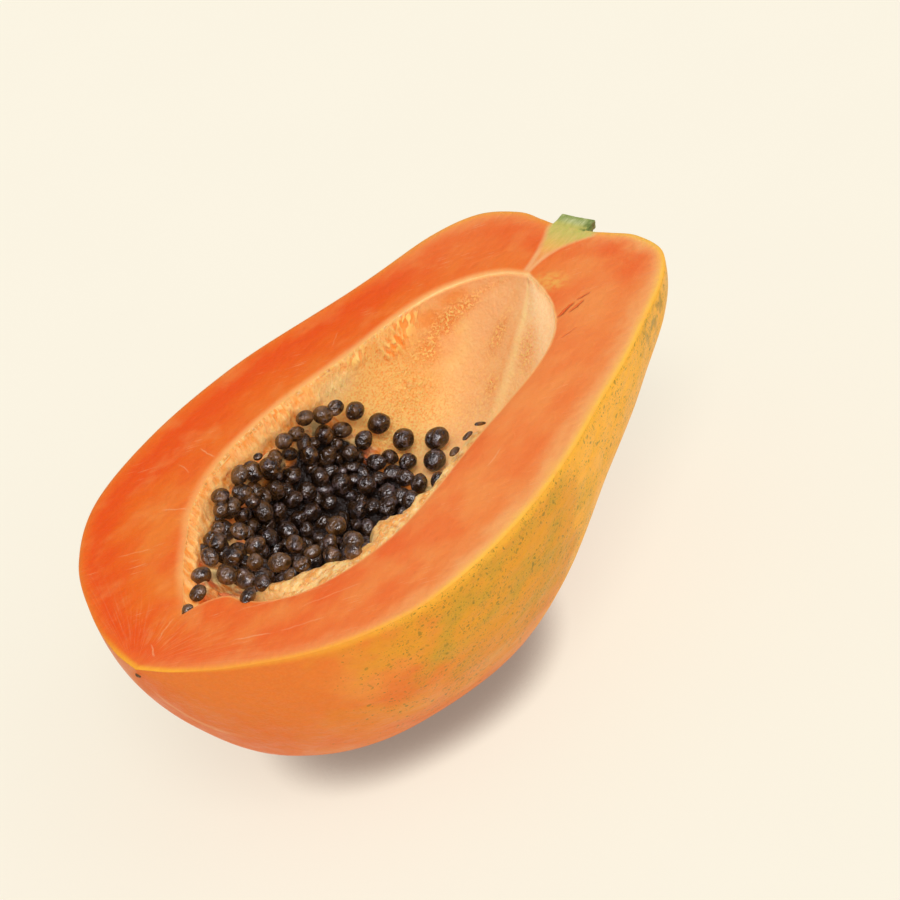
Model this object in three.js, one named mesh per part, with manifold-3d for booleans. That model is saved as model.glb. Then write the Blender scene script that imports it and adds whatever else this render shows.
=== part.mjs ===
// Half of a ripe papaya, cut lengthwise and lying on its back with the cut face up.
// Millimetres, +Z up. Along the fruit, x runs from the blossom tip (0) to the stem end.
// Across it, the near side is -y and the far side is +y. The cut face is z = 0 until
// the whole group is moved at the end, so that its box stands on z = 0.

import * as THREE from 'three';
import { mergeVertices } from 'three/addons/utils/BufferGeometryUtils.js';
import Module from 'manifold-3d';

const wasm = await Module();
wasm.setup();

// ---- Driving dimensions ----

const LENGTH = 176;            // blossom tip to the tops of the shoulders
const GAP = 0.3;               // air between touching pieces
const LOOSE_SEED_GAP = 0.4;    // a little more, because the wall's relief stands up to it
const REST_DEPTH = 66.1;       // the belly is flat below this depth, where the half rests

// Half of the cut face's outline: distance from the tip, half width.
const RIM = [
  [0, 0], [3, 10], [10.4, 24], [23, 40], [42, 52], [68, 56], [95, 54], [120, 47.8],
  [143, 41.6], [161, 36.5], [172, 29.5], [175.9, 19], [173.6, 11], [171, 6.2], [170.5, 0],
];
const NECK_LEAN = { shift: -1.2, x: 134, reach: 18 };   // the neck bends a little to the near side

// Depth of the half below the cut face, over its half width, at even steps from tip to stem.
const DEPTH_RATIOS = [1.24, 1.13, 1.22, 0.99, 0.78];
const RIBS = 5;                                         // soft ribs round the lower half
const RIB_HEIGHT = { belly: 0.006, shoulder: 0.035, from: 70, to: 160 };

// The seed cavity, as sections from its tip slit to its stem end:
// near edge x and y, far edge x and y, depth.
const CAVITY = [
  [18, 2, 18, 2, 0],
  [23.8, -0.5, 22, 4.5, 6],
  [27.6, -4.5, 27, 9, 11],
  [27.9, -9.5, 33, 14.3, 15],
  [30, -15.5, 40, 19.5, 19],
  [36, -22, 48, 25.2, 24],
  [46, -27, 59, 29.6, 29],
  [60, -30, 72, 31.5, 32.5],
  [76, -29.5, 85, 31, 33],
  [92, -27.8, 98, 28.8, 31],
  [108, -26.8, 112, 25.7, 28],
  [122, -25.6, 126, 23.6, 24.5],
  [133, -22.6, 138, 20.2, 17],
  [142, -16.8, 147, 14, 8.5],
  [149, -8.3, 151.8, 7.2, 3.5],
  [153.5, 0, 153.5, 0, 0],
];
const CAVITY_FULLNESS = 0.8;                             // under 1 makes the walls steeper
const LIP = { width: 10, from: 24, to: 108, fade: 11 };   // shallow near edge beside the seeds

// Relief of the cavity wall: a ruffled fringe on the far side that wavers along the fruit,
// a ridge in the keel of the stem end and soft lumps. It fades to nothing at the cut face.
const FRINGE = {
  height: 1.5, pitch: 4.4, waver: 1.6, waverPitch: 6.5, from: 58, to: 131, fade: 8,
  startTurn: 0.6, fullTurn: 0.72, depth: 4.2, reach: 3.2,
};
const KEEL_RIDGE = { height: 0.9, turn: 0.47, width: 0.07, from: 118, to: 147, fadeIn: 10, fadeOut: 6 };
const LUMPS = { height: 0.45, pitch: 7, slant: 9, roundWaves: 13, drift: 5, fullDepth: 6 };
const RELIEF_FADE = 2;

// Seeds: a crowded bed in the blossom half, and loose ones on the wall and the near edge.
const SEED_RADII = { min: 2.4, max: 3.2 };
const SEED_SHAPE = [1.08, 0.92, 0.88];                   // long, broad and flat way of one seed
const SEED_SPACING = { first: 0.98, last: 0.8 };         // least distance, in sums of two radii
const SEED_FACET_FILL = 1.06;                            // makes up for the flat facets
const SEED_TOP = -0.6;                                   // the highest centre, just under the cut face
const SEED_TRIES = 9000;
const SEED_STAND = { least: 0.3, most: 1.5 };            // centre above the bed's core
const LOOSE_SEED_ROOM = 0.4;                             // kept free round a loose seed
const RANDOM_START = 20417;

// The bed covers this stretch of the wall, from a near edge that starts higher at the tip.
// Towards the stem both edges sink down the wall.
const BED = { from: 0.18, to: 0.628, nearEdge: 0.215, farEdge: 0.945, gap: 1.4 };
const BED_TIP = { inset: 0.075, from: 0.2, to: 0.4 };
const BED_STEM_END = { from: 0.6, farDrop: 0.22, nearFrom: 0.5, nearDrop: 0.12 };
const BED_AXIS_HEIGHT = 3;                               // above the cut face, where the bed grows to

// How far the bed's core reaches from the wall towards the cavity's middle line.
// It is thin on the floor, thicker on the near side and at the tip, and thin at both edges.
const CORE_REACH = { floor: 0.05, near: 0.26, tip: 0.42, base: 0.5, most: 9 };
const CORE_NEAR_TURN = { from: 0.2, to: 0.42 };
const CORE_TIP_X = { from: 30, to: 64 };
const CORE_EDGE_FADE = { near: 0.06, farFrom: 0.8 };

// Loose seeds on the wall and squashed ones on the near edge: place along the cavity (0 to
// 1), angle round it from the near edge (0 to 1), half length, half breadth, half thickness.
const LOOSE_SEEDS = [
  [0.633, 0.882, 2.6, 2.5, 2.4],
  [0.648, 0.794, 3.0, 2.9, 2.8],
  [0.655, 0.69, 3.1, 2.9, 2.7],
  [0.679, 0.596, 3.5, 3.0, 2.7],
  [0.655, 0.55, 3.2, 3.0, 2.7],
  [0.625, 0.1, 2.2, 0.9, 0.6],
  [0.605, 0.1, 1.9, 0.9, 0.6],
  [0.58, 0.1, 1.8, 1.2, 0.7],
];

// Stem stub, cut lengthwise with the fruit: distance from the tip, radius.
const STEM_PROFILE = [[171.35, 4.6], [172.6, 4.4], [175, 4.5], [177.2, 4.9], [178.2, 5.2]];
const STEM_Y = 1.0;
const STEM_DEPTH_RATIO = 0.9;
const STEM_GROOVE = { count: 7, depth: 0.05 };

const STEPS = {
  skinAlong: 52, skinRound: 24, cavityAlong: 88, cavityRound: 24,
  coreAlong: 22, coreRound: 14, stemAlong: 8, stemRound: 16, samplesAlong: 70, samplesRound: 40,
};
const SLOPE_STEP = 0.004;                                // for slopes along and round the wall
const MERGE_DISTANCE = 1e-3;

// ---- Curves shared by the pieces ----

const flatPoint = ([x, y]) => new THREE.Vector2(x, y);
const curveThrough = (points) => new THREE.SplineCurve(points.map(flatPoint));
const rimCurve = curveThrough(RIM);
const depthRatioCurve = curveThrough(DEPTH_RATIOS.map((ratio, i) => [i, ratio]));
const nearEdgeCurve = curveThrough(CAVITY.map((section) => [section[0], section[1]]));
const farEdgeCurve = curveThrough(CAVITY.map((section) => [section[2], section[3]]));
const cavityDepthCurve = curveThrough(CAVITY.map((section, i) => [i, section[4]]));
const stemCurve = curveThrough(STEM_PROFILE);

const smooth = (value, from, to) => THREE.MathUtils.smoothstep(value, from, to);
const bell = (value, middle, reach) => Math.exp(-(((value - middle) / reach) ** 2));
const clamp = (value, least, most) => Math.min(Math.max(value, least), most);

// 1 between two ends and 0 outside them, with soft steps.
function band(value, { from, to }, fadeIn, fadeOut) {
  return smooth(value, from, from + fadeIn) * (1 - smooth(value, to - fadeOut, to));
}

function neckLean(x) {
  return NECK_LEAN.shift * bell(x, NECK_LEAN.x, NECK_LEAN.reach);
}

// A point of the skin: along = 0 at the tip and 1 at the stem seat, turn = 0 on the near
// rim, 0.5 at the keel and 1 on the far rim.
function skinPoint(along, turn) {
  const rim = rimCurve.getPoint(along);
  const angle = turn * Math.PI;
  const ribHeight = THREE.MathUtils.lerp(
    RIB_HEIGHT.belly, RIB_HEIGHT.shoulder, smooth(rim.x, RIB_HEIGHT.from, RIB_HEIGHT.to));
  const rib = 1 + ribHeight * Math.sin(RIBS * angle) * Math.sin(angle);
  const ratio = depthRatioCurve.getPoint(clamp(rim.x / LENGTH, 0, 1)).y;
  const y = neckLean(rim.x) - rim.y * Math.cos(angle) * rib;
  const z = -ratio * rim.y * Math.sin(angle) * rib;
  return new THREE.Vector3(rim.x, y, Math.max(z, -REST_DEPTH));
}

// The plain cavity wall: along = 0 at the tip slit and 1 at the stem end, turn as above.
function plainWallPoint(along, turn) {
  const near = nearEdgeCurve.getPoint(along);
  const far = farEdgeCurve.getPoint(along);
  const angle = turn * Math.PI;
  const across = (1 - Math.cos(angle)) / 2;
  const x = THREE.MathUtils.lerp(near.x, far.x, across);
  const y = THREE.MathUtils.lerp(near.y, far.y, across);
  const width = Math.hypot(far.x - near.x, far.y - near.y);
  const lipDrop = smooth(across * width, 0, LIP.width) ** 3;
  const drop = THREE.MathUtils.lerp(1, lipDrop, band(x, LIP, LIP.fade, LIP.fade));
  const depth = Math.max(cavityDepthCurve.getPoint(along).y, 0);
  return new THREE.Vector3(x, y, -depth * Math.sin(angle) ** CAVITY_FULLNESS * drop);
}

// Unit direction out of the wall into the open cavity.
function wallNormal(along, turn) {
  const inside = (value) => clamp(value, SLOPE_STEP / 2, 1 - SLOPE_STEP / 2);
  const [a0, a1] = [inside(along - SLOPE_STEP), inside(along + SLOPE_STEP)];
  const [t0, t1] = [inside(turn - SLOPE_STEP), inside(turn + SLOPE_STEP)];
  const lengthwise = plainWallPoint(a1, turn).sub(plainWallPoint(a0, turn));
  const sideways = plainWallPoint(along, t1).sub(plainWallPoint(along, t0));
  return lengthwise.cross(sideways).normalize();
}

function fringeHeight({ x, z }, turn) {
  const wave = 2 * Math.PI * x / FRINGE.pitch + FRINGE.waver * Math.sin(x / FRINGE.waverPitch);
  return FRINGE.height * (1 + Math.sin(wave)) / 2 * band(x, FRINGE, FRINGE.fade, FRINGE.fade)
    * smooth(turn, FRINGE.startTurn, FRINGE.fullTurn) * bell(-z, FRINGE.depth, FRINGE.reach);
}

function ridgeHeight({ x }, turn) {
  return KEEL_RIDGE.height * bell(turn, KEEL_RIDGE.turn, KEEL_RIDGE.width)
    * band(x, KEEL_RIDGE, KEEL_RIDGE.fadeIn, KEEL_RIDGE.fadeOut);
}

function lumpHeight({ x, z }, turn) {
  return LUMPS.height * Math.sin(2 * Math.PI * x / LUMPS.pitch + LUMPS.slant * turn)
    * Math.sin(LUMPS.roundWaves * turn + x / LUMPS.drift) * Math.min(-z / LUMPS.fullDepth, 1);
}

function wallPoint(along, turn) {
  const point = plainWallPoint(along, turn);
  if (turn <= 0 || turn >= 1 || along <= 0 || along >= 1) return point;
  const relief = fringeHeight(point, turn) + ridgeHeight(point, turn) + lumpHeight(point, turn);
  return point.addScaledVector(wallNormal(along, turn), relief * smooth(-point.z, 0, RELIEF_FADE));
}

// ---- Mesh helpers ----

// Triangles of a grid of points. pointAt(row, column) gives a corner, and flipped turns
// the other side of the triangles outwards.
function patch(rows, columns, pointAt, flipped) {
  const points = [];
  for (let i = 0; i <= rows; i += 1) {
    points.push([]);
    for (let j = 0; j <= columns; j += 1) points[i].push(pointAt(i, j));
  }
  const triangles = [];
  for (let i = 0; i < rows; i += 1) {
    for (let j = 0; j < columns; j += 1) {
      const [a, b, c, d] = [points[i][j], points[i + 1][j], points[i + 1][j + 1], points[i][j + 1]];
      triangles.push(flipped ? [a, b, c] : [a, c, b], flipped ? [a, c, d] : [a, d, c]);
    }
  }
  return triangles;
}

// The flat ring between an outer and an inner loop of points at z = 0, facing up.
function flatRing(outer, inner) {
  const faces = THREE.ShapeUtils.triangulateShape(
    outer.map((p) => new THREE.Vector2(p.x, p.y)), [inner.map((p) => new THREE.Vector2(p.x, p.y))]);
  const points = [...outer, ...inner];
  return faces.map(([i, j, k]) => {
    const [a, b, c] = [points[i], points[j], points[k]];
    const turn = (b.x - a.x) * (c.y - a.y) - (b.y - a.y) * (c.x - a.x);
    return turn > 0 ? [a, b, c] : [a, c, b];
  });
}

// One closed geometry from loose triangles: shared corners are merged and empty faces dropped.
function closedGeometry(triangles) {
  const loose = new THREE.BufferGeometry();
  const numbers = triangles.flatMap((corners) => corners.flatMap((p) => [p.x, p.y, p.z]));
  loose.setAttribute('position', new THREE.Float32BufferAttribute(numbers, 3));
  return withoutEmptyFaces(mergeVertices(loose, MERGE_DISTANCE));
}

function withoutEmptyFaces(geometry) {
  const index = geometry.getIndex().array;
  const kept = [];
  for (let i = 0; i < index.length; i += 3) {
    const [a, b, c] = [index[i], index[i + 1], index[i + 2]];
    if (a !== b && b !== c && c !== a) kept.push(a, b, c);
  }
  geometry.setIndex(kept);
  return geometry;
}

function toSolid(geometry) {
  return new wasm.Manifold(new wasm.Mesh({
    numProp: 3,
    vertProperties: new Float32Array(geometry.getAttribute('position').array),
    triVerts: new Uint32Array(geometry.getIndex().array),
  }));
}

function toGeometry(solid) {
  const mesh = solid.getMesh();
  const geometry = new THREE.BufferGeometry();
  geometry.setAttribute('position', new THREE.Float32BufferAttribute(mesh.vertProperties, 3));
  geometry.setIndex(Array.from(mesh.triVerts));
  return geometry;
}

function pieceOf(name, geometry, look) {
  geometry.computeVertexNormals();
  const mesh = new THREE.Mesh(geometry, new THREE.MeshStandardMaterial({ metalness: 0, ...look }));
  mesh.name = name;
  return mesh;
}

// ---- The fruit: skin, cut face and cavity wall in one closed body ----

function fruitHalf() {
  const { skinAlong, skinRound, cavityAlong, cavityRound } = STEPS;
  const skin = patch(skinAlong, skinRound, (i, j) => skinPoint(i / skinAlong, j / skinRound), false);
  const wall = patch(
    cavityAlong, cavityRound, (i, j) => wallPoint(i / cavityAlong, j / cavityRound), true);
  const loop = (pointAt, steps) => {
    const near = Array.from({ length: steps }, (_, i) => pointAt((steps - i) / steps, 0));
    const far = Array.from({ length: steps }, (_, i) => pointAt(i / steps, 1));
    return [...near, ...far];
  };
  const cutFace = flatRing(loop(skinPoint, skinAlong), loop(wallPoint, cavityAlong));
  return pieceOf('papaya_half', closedGeometry([...skin, ...wall, ...cutFace]),
    { color: 0xed642d, roughness: 0.42 });
}

// ---- The seeds ----

let randomState = RANDOM_START;

function random() {
  randomState = (Math.imul(1664525, randomState) + 1013904223) >>> 0;
  return randomState / 4294967296;
}

function randomBetween(least, most) {
  return least + (most - least) * random();
}

// An even random turn of a seed.
function randomTurn() {
  const [u, v, w] = [random(), 2 * Math.PI * random(), 2 * Math.PI * random()];
  return new THREE.Quaternion(
    Math.sqrt(1 - u) * Math.sin(v), Math.sqrt(1 - u) * Math.cos(v),
    Math.sqrt(u) * Math.sin(w), Math.sqrt(u) * Math.cos(w));
}

function seedGeometry(radii, turn, centre) {
  const ball = new THREE.IcosahedronGeometry(SEED_FACET_FILL);
  ball.deleteAttribute('normal');
  ball.deleteAttribute('uv');
  const placed = new THREE.Matrix4().compose(centre, turn, new THREE.Vector3(...radii));
  return withoutEmptyFaces(mergeVertices(ball.applyMatrix4(placed), MERGE_DISTANCE));
}

const seedRadii = (radius) => SEED_SHAPE.map((part) => part * radius);

function farEdgeTurn(along) {
  return BED.farEdge - BED_STEM_END.farDrop * smooth(along, BED_STEM_END.from, BED.to);
}

function nearEdgeTurn(along) {
  return BED.nearEdge + BED_TIP.inset * (1 - smooth(along, BED_TIP.from, BED_TIP.to))
    + BED_STEM_END.nearDrop * smooth(along, BED_STEM_END.nearFrom, BED.to);
}

// The line through the open cavity that the bed grows towards.
function axisPoint(along) {
  const near = nearEdgeCurve.getPoint(along);
  const far = farEdgeCurve.getPoint(along);
  return new THREE.Vector3((near.x + far.x) / 2, (near.y + far.y) / 2, BED_AXIS_HEIGHT);
}

// A point this far above the wall, towards the middle line.
function pointAboveWall(along, turn, height) {
  const base = wallPoint(along, turn);
  return base.addScaledVector(axisPoint(along).sub(base).normalize(), height);
}

// Height of the soft core that the seeds of the bed stand out of.
function coreHeight(along, turn) {
  const base = plainWallPoint(along, turn);
  const near = CORE_REACH.near * (1 - smooth(turn, CORE_NEAR_TURN.from, CORE_NEAR_TURN.to));
  const tip = CORE_REACH.tip * (1 - smooth(base.x, CORE_TIP_X.from, CORE_TIP_X.to));
  const nearEdge = nearEdgeTurn(along);
  const reach = CORE_REACH.floor
    + Math.max(near, tip) * smooth(turn, nearEdge, nearEdge + CORE_EDGE_FADE.near)
    * (1 - smooth(turn, CORE_EDGE_FADE.farFrom, BED.farEdge));
  const height = reach * base.distanceTo(axisPoint(along)) + CORE_REACH.base;
  return BED.gap + Math.min(height, CORE_REACH.most);
}

function bedCore() {
  const { coreAlong, coreRound } = STEPS;
  const corner = (i, j, isUpper) => {
    const along = THREE.MathUtils.lerp(BED.from, BED.to, i / coreAlong);
    const turn = THREE.MathUtils.lerp(nearEdgeTurn(along), farEdgeTurn(along), j / coreRound);
    return pointAboveWall(along, turn, isUpper ? coreHeight(along, turn) : BED.gap);
  };
  return closedGeometry([
    ...patch(coreAlong, coreRound, (i, j) => corner(i, j, false), false),
    ...patch(coreAlong, coreRound, (i, j) => corner(i, j, true), true),
    ...patch(coreAlong, 1, (i, j) => corner(i, 0, j === 1), true),
    ...patch(coreAlong, 1, (i, j) => corner(i, coreRound, j === 1), false),
    ...patch(coreRound, 1, (j, i) => corner(0, j, i === 1), false),
    ...patch(coreRound, 1, (j, i) => corner(coreAlong, j, i === 1), true),
  ]);
}

// Points of the wall that a seed has to keep clear of.
function wallSamples() {
  const { samplesAlong, samplesRound } = STEPS;
  const samples = [];
  for (let i = 0; i <= samplesAlong; i += 1) {
    for (let j = 0; j <= samplesRound; j += 1) {
      samples.push(wallPoint(i / samplesAlong, j / samplesRound));
    }
  }
  return samples;
}

// Centre of a loose seed that lies on the wall.
function looseCentre(along, turn, flat) {
  return wallPoint(along, turn).addScaledVector(wallNormal(along, turn), flat + LOOSE_SEED_GAP);
}

function placeSeeds() {
  const walls = wallSamples();
  const loose = LOOSE_SEEDS.map(([along, turn, long, , flat]) => (
    { centre: looseCentre(along, turn, flat), radius: long + LOOSE_SEED_ROOM }));
  const seeds = [];
  for (let i = 0; i < SEED_TRIES; i += 1) {
    const along = randomBetween(BED.from, BED.to);
    const turn = randomBetween(nearEdgeTurn(along), farEdgeTurn(along));
    const radius = randomBetween(SEED_RADII.min, SEED_RADII.max);
    const stand = randomBetween(SEED_STAND.least, SEED_STAND.most);
    const centre = pointAboveWall(along, turn, coreHeight(along, turn) + stand);
    const spacing = THREE.MathUtils.lerp(SEED_SPACING.first, SEED_SPACING.last, i / SEED_TRIES);
    const reach = radius * SEED_SHAPE[0] * SEED_FACET_FILL;
    const clearOf = (other, distance) => other.distanceTo(centre) > distance;
    const isClear = seeds.every((seed) => clearOf(seed.centre, spacing * (seed.radius + radius)))
      && loose.every((seed) => clearOf(seed.centre, seed.radius + reach))
      && walls.every((point) => clearOf(point, reach + GAP));
    if (isClear && centre.z < SEED_TOP) seeds.push({ centre, radius, turn: randomTurn() });
  }
  return seeds;
}

const SEED_LOOK = { color: 0x1f1710, roughness: 0.3 };

function seedBed() {
  const solids = placeSeeds().map(
    ({ centre, radius, turn }) => toSolid(seedGeometry(seedRadii(radius), turn, centre)));
  const bed = solids.reduce((whole, seed) => whole.add(seed), toSolid(bedCore()));
  return pieceOf('seed_bed', toGeometry(bed), SEED_LOOK);
}

function looseSeeds() {
  return LOOSE_SEEDS.map(([along, turn, long, broad, flat], i) => {
    const normal = wallNormal(along, turn);
    const centre = looseCentre(along, turn, flat);
    const ahead = plainWallPoint(along + SLOPE_STEP, turn);
    const lengthwise = ahead.sub(plainWallPoint(along - SLOPE_STEP, turn)).normalize();
    const sideways = normal.clone().cross(lengthwise);
    const upright = new THREE.Quaternion().setFromRotationMatrix(
      new THREE.Matrix4().makeBasis(lengthwise, sideways, normal));
    return pieceOf(`seed_loose_${i + 1}`, seedGeometry([long, broad, flat], upright, centre), SEED_LOOK);
  });
}

// ---- The stem stub ----

function stemStub() {
  const { stemAlong, stemRound } = STEPS;
  const side = (i, j) => {
    const at = stemCurve.getPoint(i / stemAlong);
    const angle = Math.PI * j / stemRound;
    const groove = 1 + STEM_GROOVE.depth * Math.cos(2 * STEM_GROOVE.count * angle);
    return new THREE.Vector3(at.x, STEM_Y - at.y * Math.cos(angle),
      -STEM_DEPTH_RATIO * at.y * Math.sin(angle) * groove);
  };
  const heart = (i) => new THREE.Vector3(stemCurve.getPoint(i / stemAlong).x, STEM_Y, 0);
  return pieceOf('stem_stub', closedGeometry([
    ...patch(stemAlong, stemRound, side, false),
    ...patch(stemAlong, 1, (i, j) => (j === 0 ? side(i, 0) : heart(i)), true),
    ...patch(stemAlong, 1, (i, j) => (j === 0 ? heart(i) : side(i, stemRound)), true),
    ...patch(1, stemRound, (i, j) => (i === 0 ? heart(0) : side(0, j)), false),
    ...patch(1, stemRound, (i, j) => (i === 0 ? side(stemAlong, j) : heart(stemAlong)), false),
  ]), { color: 0x9fb95a, roughness: 0.6 });
}

// ---- The whole part ----

const group = new THREE.Group();
group.add(fruitHalf(), seedBed(), ...looseSeeds(), stemStub());
const box = new THREE.Box3().setFromObject(group);
const middle = box.getCenter(new THREE.Vector3());
group.position.set(-middle.x, -middle.y, -box.min.z);

export default group;
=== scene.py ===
"""Half of a ripe papaya, cut lengthwise and lying on its back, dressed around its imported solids.

Shapes are worked out in millimetres in the fruit's own frame: x runs from the blossom tip (0)
to the stem end, y from the near side (-) to the far side (+), and the cut face is z = 0.
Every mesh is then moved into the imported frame, in metres.
"""

import math

import bmesh
import bpy
import numpy as np
from bpy.props import FloatProperty, FloatVectorProperty, IntProperty, PointerProperty
from mathutils import Matrix, Vector


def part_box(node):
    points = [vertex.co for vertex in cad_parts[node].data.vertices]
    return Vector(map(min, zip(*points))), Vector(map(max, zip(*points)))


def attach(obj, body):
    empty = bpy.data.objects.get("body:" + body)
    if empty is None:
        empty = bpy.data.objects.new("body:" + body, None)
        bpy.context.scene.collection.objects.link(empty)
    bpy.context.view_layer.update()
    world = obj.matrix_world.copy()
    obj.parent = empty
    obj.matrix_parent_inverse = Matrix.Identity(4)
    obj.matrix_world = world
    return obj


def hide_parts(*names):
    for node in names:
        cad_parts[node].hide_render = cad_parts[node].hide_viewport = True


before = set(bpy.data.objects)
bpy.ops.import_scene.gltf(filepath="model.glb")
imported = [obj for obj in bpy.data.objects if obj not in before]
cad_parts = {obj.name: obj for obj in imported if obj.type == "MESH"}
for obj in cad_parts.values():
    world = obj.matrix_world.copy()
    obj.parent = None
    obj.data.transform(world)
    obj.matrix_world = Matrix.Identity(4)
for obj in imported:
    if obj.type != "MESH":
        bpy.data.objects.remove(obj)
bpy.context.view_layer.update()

bl_info = {
    "name": "Papaya Half",
    "version": (1, 0, 0),
    "blender": (4, 5, 0),
    "location": "View3D > Sidebar > Papaya",
    "description": "Builds half of a ripe papaya with its seeds around the packed solids",
    "category": "Add Mesh",
}

FRUIT_LOW, FRUIT_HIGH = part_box("papaya_half")
MM = 0.001
ORIGIN = np.array([FRUIT_LOW.x, (FRUIT_LOW.y + FRUIT_HIGH.y) / 2, FRUIT_HIGH.z])

# ---- Shapes shared with the solids, in millimetres ----

LENGTH = 176
REST_DEPTH = 66.1
RIM = np.array([
    (0, 0), (3, 10), (10.4, 24), (23, 40), (42, 52), (68, 56), (95, 54), (120, 47.8),
    (143, 41.6), (161, 36.5), (172, 29.5), (175.9, 19), (174.9, 11), (174, 6.2), (173.7, 0),
])
NECK_LEAN = {"shift": -1.2, "x": 134, "reach": 18}
DEPTH_RATIOS = np.array([(0, 1.24), (1, 1.13), (2, 1.22), (3, 0.99), (4, 0.78)])
RIBS = 5
RIB_HEIGHT = {"belly": 0.006, "shoulder": 0.035, "start": 70, "end": 160}

# Sections of the seed cavity: near edge x and y, far edge x and y, depth.
CAVITY = np.array([
    (18, 2, 18, 2, 0), (23.8, -0.5, 22, 4.5, 6), (27.6, -4.5, 27, 9, 11),
    (27.9, -9.5, 33, 14.3, 15), (30, -15.5, 40, 19.5, 19), (36, -22, 48, 25.2, 24),
    (46, -27, 59, 29.6, 29), (60, -30, 72, 31.5, 32.5), (76, -29.5, 85, 31, 33),
    (92, -27.8, 98, 28.8, 31), (108, -26.8, 112, 25.7, 28), (122, -25.6, 126, 23.6, 24.5),
    (133, -22.6, 138, 20.2, 17), (142, -16.8, 147, 14, 8.5), (149, -8.3, 151.8, 7.2, 3.5),
    (153.5, 0, 153.5, 0, 0),
])
CAVITY_FULLNESS = 0.8
LIP = {"width": 10, "start": 24, "end": 108, "fade": 11}
FRINGE = {
    "height": 1.5, "pitch": 4.4, "waver": 1.6, "waver_pitch": 6.5, "start": 58, "end": 131,
    "fade": 8, "start_turn": 0.6, "full_turn": 0.72, "depth": 4.2, "reach": 3.2,
}
KEEL_RIDGE = {
    "height": 0.9, "turn": 0.47, "width": 0.07, "start": 118, "end": 147, "fade_in": 10,
    "fade_out": 6,
}
LUMPS = {
    "height": 0.45, "pitch": 7, "slant": 9, "round_waves": 13, "drift": 5, "full_depth": 6,
}
RELIEF_FADE = 2
SLOPE_STEP = 0.004

SEED_RADII = (2.4, 3.2)
SEED_SHAPE = np.array([1.08, 0.92, 0.88])
SEED_SPACING = (0.98, 0.8)
SEED_FACET_FILL = 1.06
SEED_TOP = -0.6
SEED_TRIES = 9000
SEED_STAND = (0.3, 1.5)
SEED_GAP = 0.3
LOOSE_SEED_GAP = 0.4
LOOSE_SEED_ROOM = 0.4
RANDOM_START = 20417
RANDOM_RULE = {"times": 1664525, "plus": 1013904223, "range": 2 ** 32}
DRAWS = {"place": 4, "turn": 3, "spare": 2000}

BED = {"start": 0.18, "end": 0.628, "near_edge": 0.215, "far_edge": 0.945, "gap": 1.4}
BED_TIP = {"inset": 0.075, "start": 0.2, "end": 0.4}
BED_STEM_END = {"start": 0.6, "far_drop": 0.22, "near_start": 0.5, "near_drop": 0.12}
BED_AXIS_HEIGHT = 3
CORE_REACH = {"floor": 0.05, "near": 0.26, "tip": 0.42, "base": 0.5, "most": 9}
CORE_NEAR_TURN = (0.2, 0.42)
CORE_TIP_X = (30, 64)
CORE_EDGE_FADE = {"near": 0.06, "far": 0.8}
WALL_SAMPLES = (70, 40)

# Loose seeds: place along the cavity, angle round it, half length, breadth and thickness.
LOOSE_SEEDS = (
    (0.633, 0.882, 2.6, 2.5, 2.4), (0.648, 0.794, 3.0, 2.9, 2.8), (0.655, 0.69, 3.1, 2.9, 2.7),
    (0.679, 0.596, 3.5, 3.0, 2.7), (0.655, 0.55, 3.2, 3.0, 2.7), (0.625, 0.1, 2.2, 0.9, 0.6),
    (0.605, 0.1, 1.9, 0.9, 0.6), (0.58, 0.1, 1.8, 1.2, 0.7),
)
STEM_PROFILE = np.array([
    (170.45, 5.2), (173, 5.2), (175.4, 5.1), (177.2, 5.3), (178.0, 5.3), (178.2, 4.9),
])
STEM_Y = 1.0
STEM_DEPTH_RATIO = 0.9
STEM_GROOVE = {"count": 7, "depth": 0.05}


# ---- Curves and noise ----

def smooth(value, start, end):
    """0 before start, 1 after end, and an S curve 3t^2 - 2t^3 between them."""
    t = np.clip((value - start) / (end - start), 0, 1)
    return t * t * (3 - 2 * t)


def mixed(a, b, share):
    return a + (b - a) * share


def bell(value, middle, reach):
    return np.exp(-(((value - middle) / reach) ** 2))


def band(value, start, end, fade_in, fade_out):
    """1 between start and end, with soft steps inside both."""
    return smooth(value, start, start + fade_in) * (1 - smooth(value, end - fade_out, end))


def curve(points, share):
    """Uniform Catmull-Rom curve through the points, for shares of its way from 0 to 1."""
    last = len(points) - 1
    place = np.clip(share, 0, 1) * last
    i = np.minimum(place.astype(int), last - 1)
    t = (place - i)[..., None]
    before = points[np.maximum(i - 1, 0)]
    here = points[i]
    ahead = points[np.minimum(i + 1, last)]
    beyond = points[np.minimum(i + 2, last)]
    v0 = (ahead - before) / 2
    v1 = (beyond - here) / 2
    cubic = 2 * here - 2 * ahead + v0 + v1
    square = -3 * here + 3 * ahead - 2 * v0 - v1
    return cubic * t ** 3 + square * t ** 2 + v0 * t + here


HASH_FACTORS = (np.uint64(374761393), np.uint64(668265263), np.uint64(2246822519))
HASH_MIX = np.uint64(3266489917)
HASH_SHIFT = np.uint64(15)
HASH_MASK = np.uint64(0xFFFFFFFF)
NOISE_SHIFT = 1000.0
NOISE_SEED_SHIFT = 17.31


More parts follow.
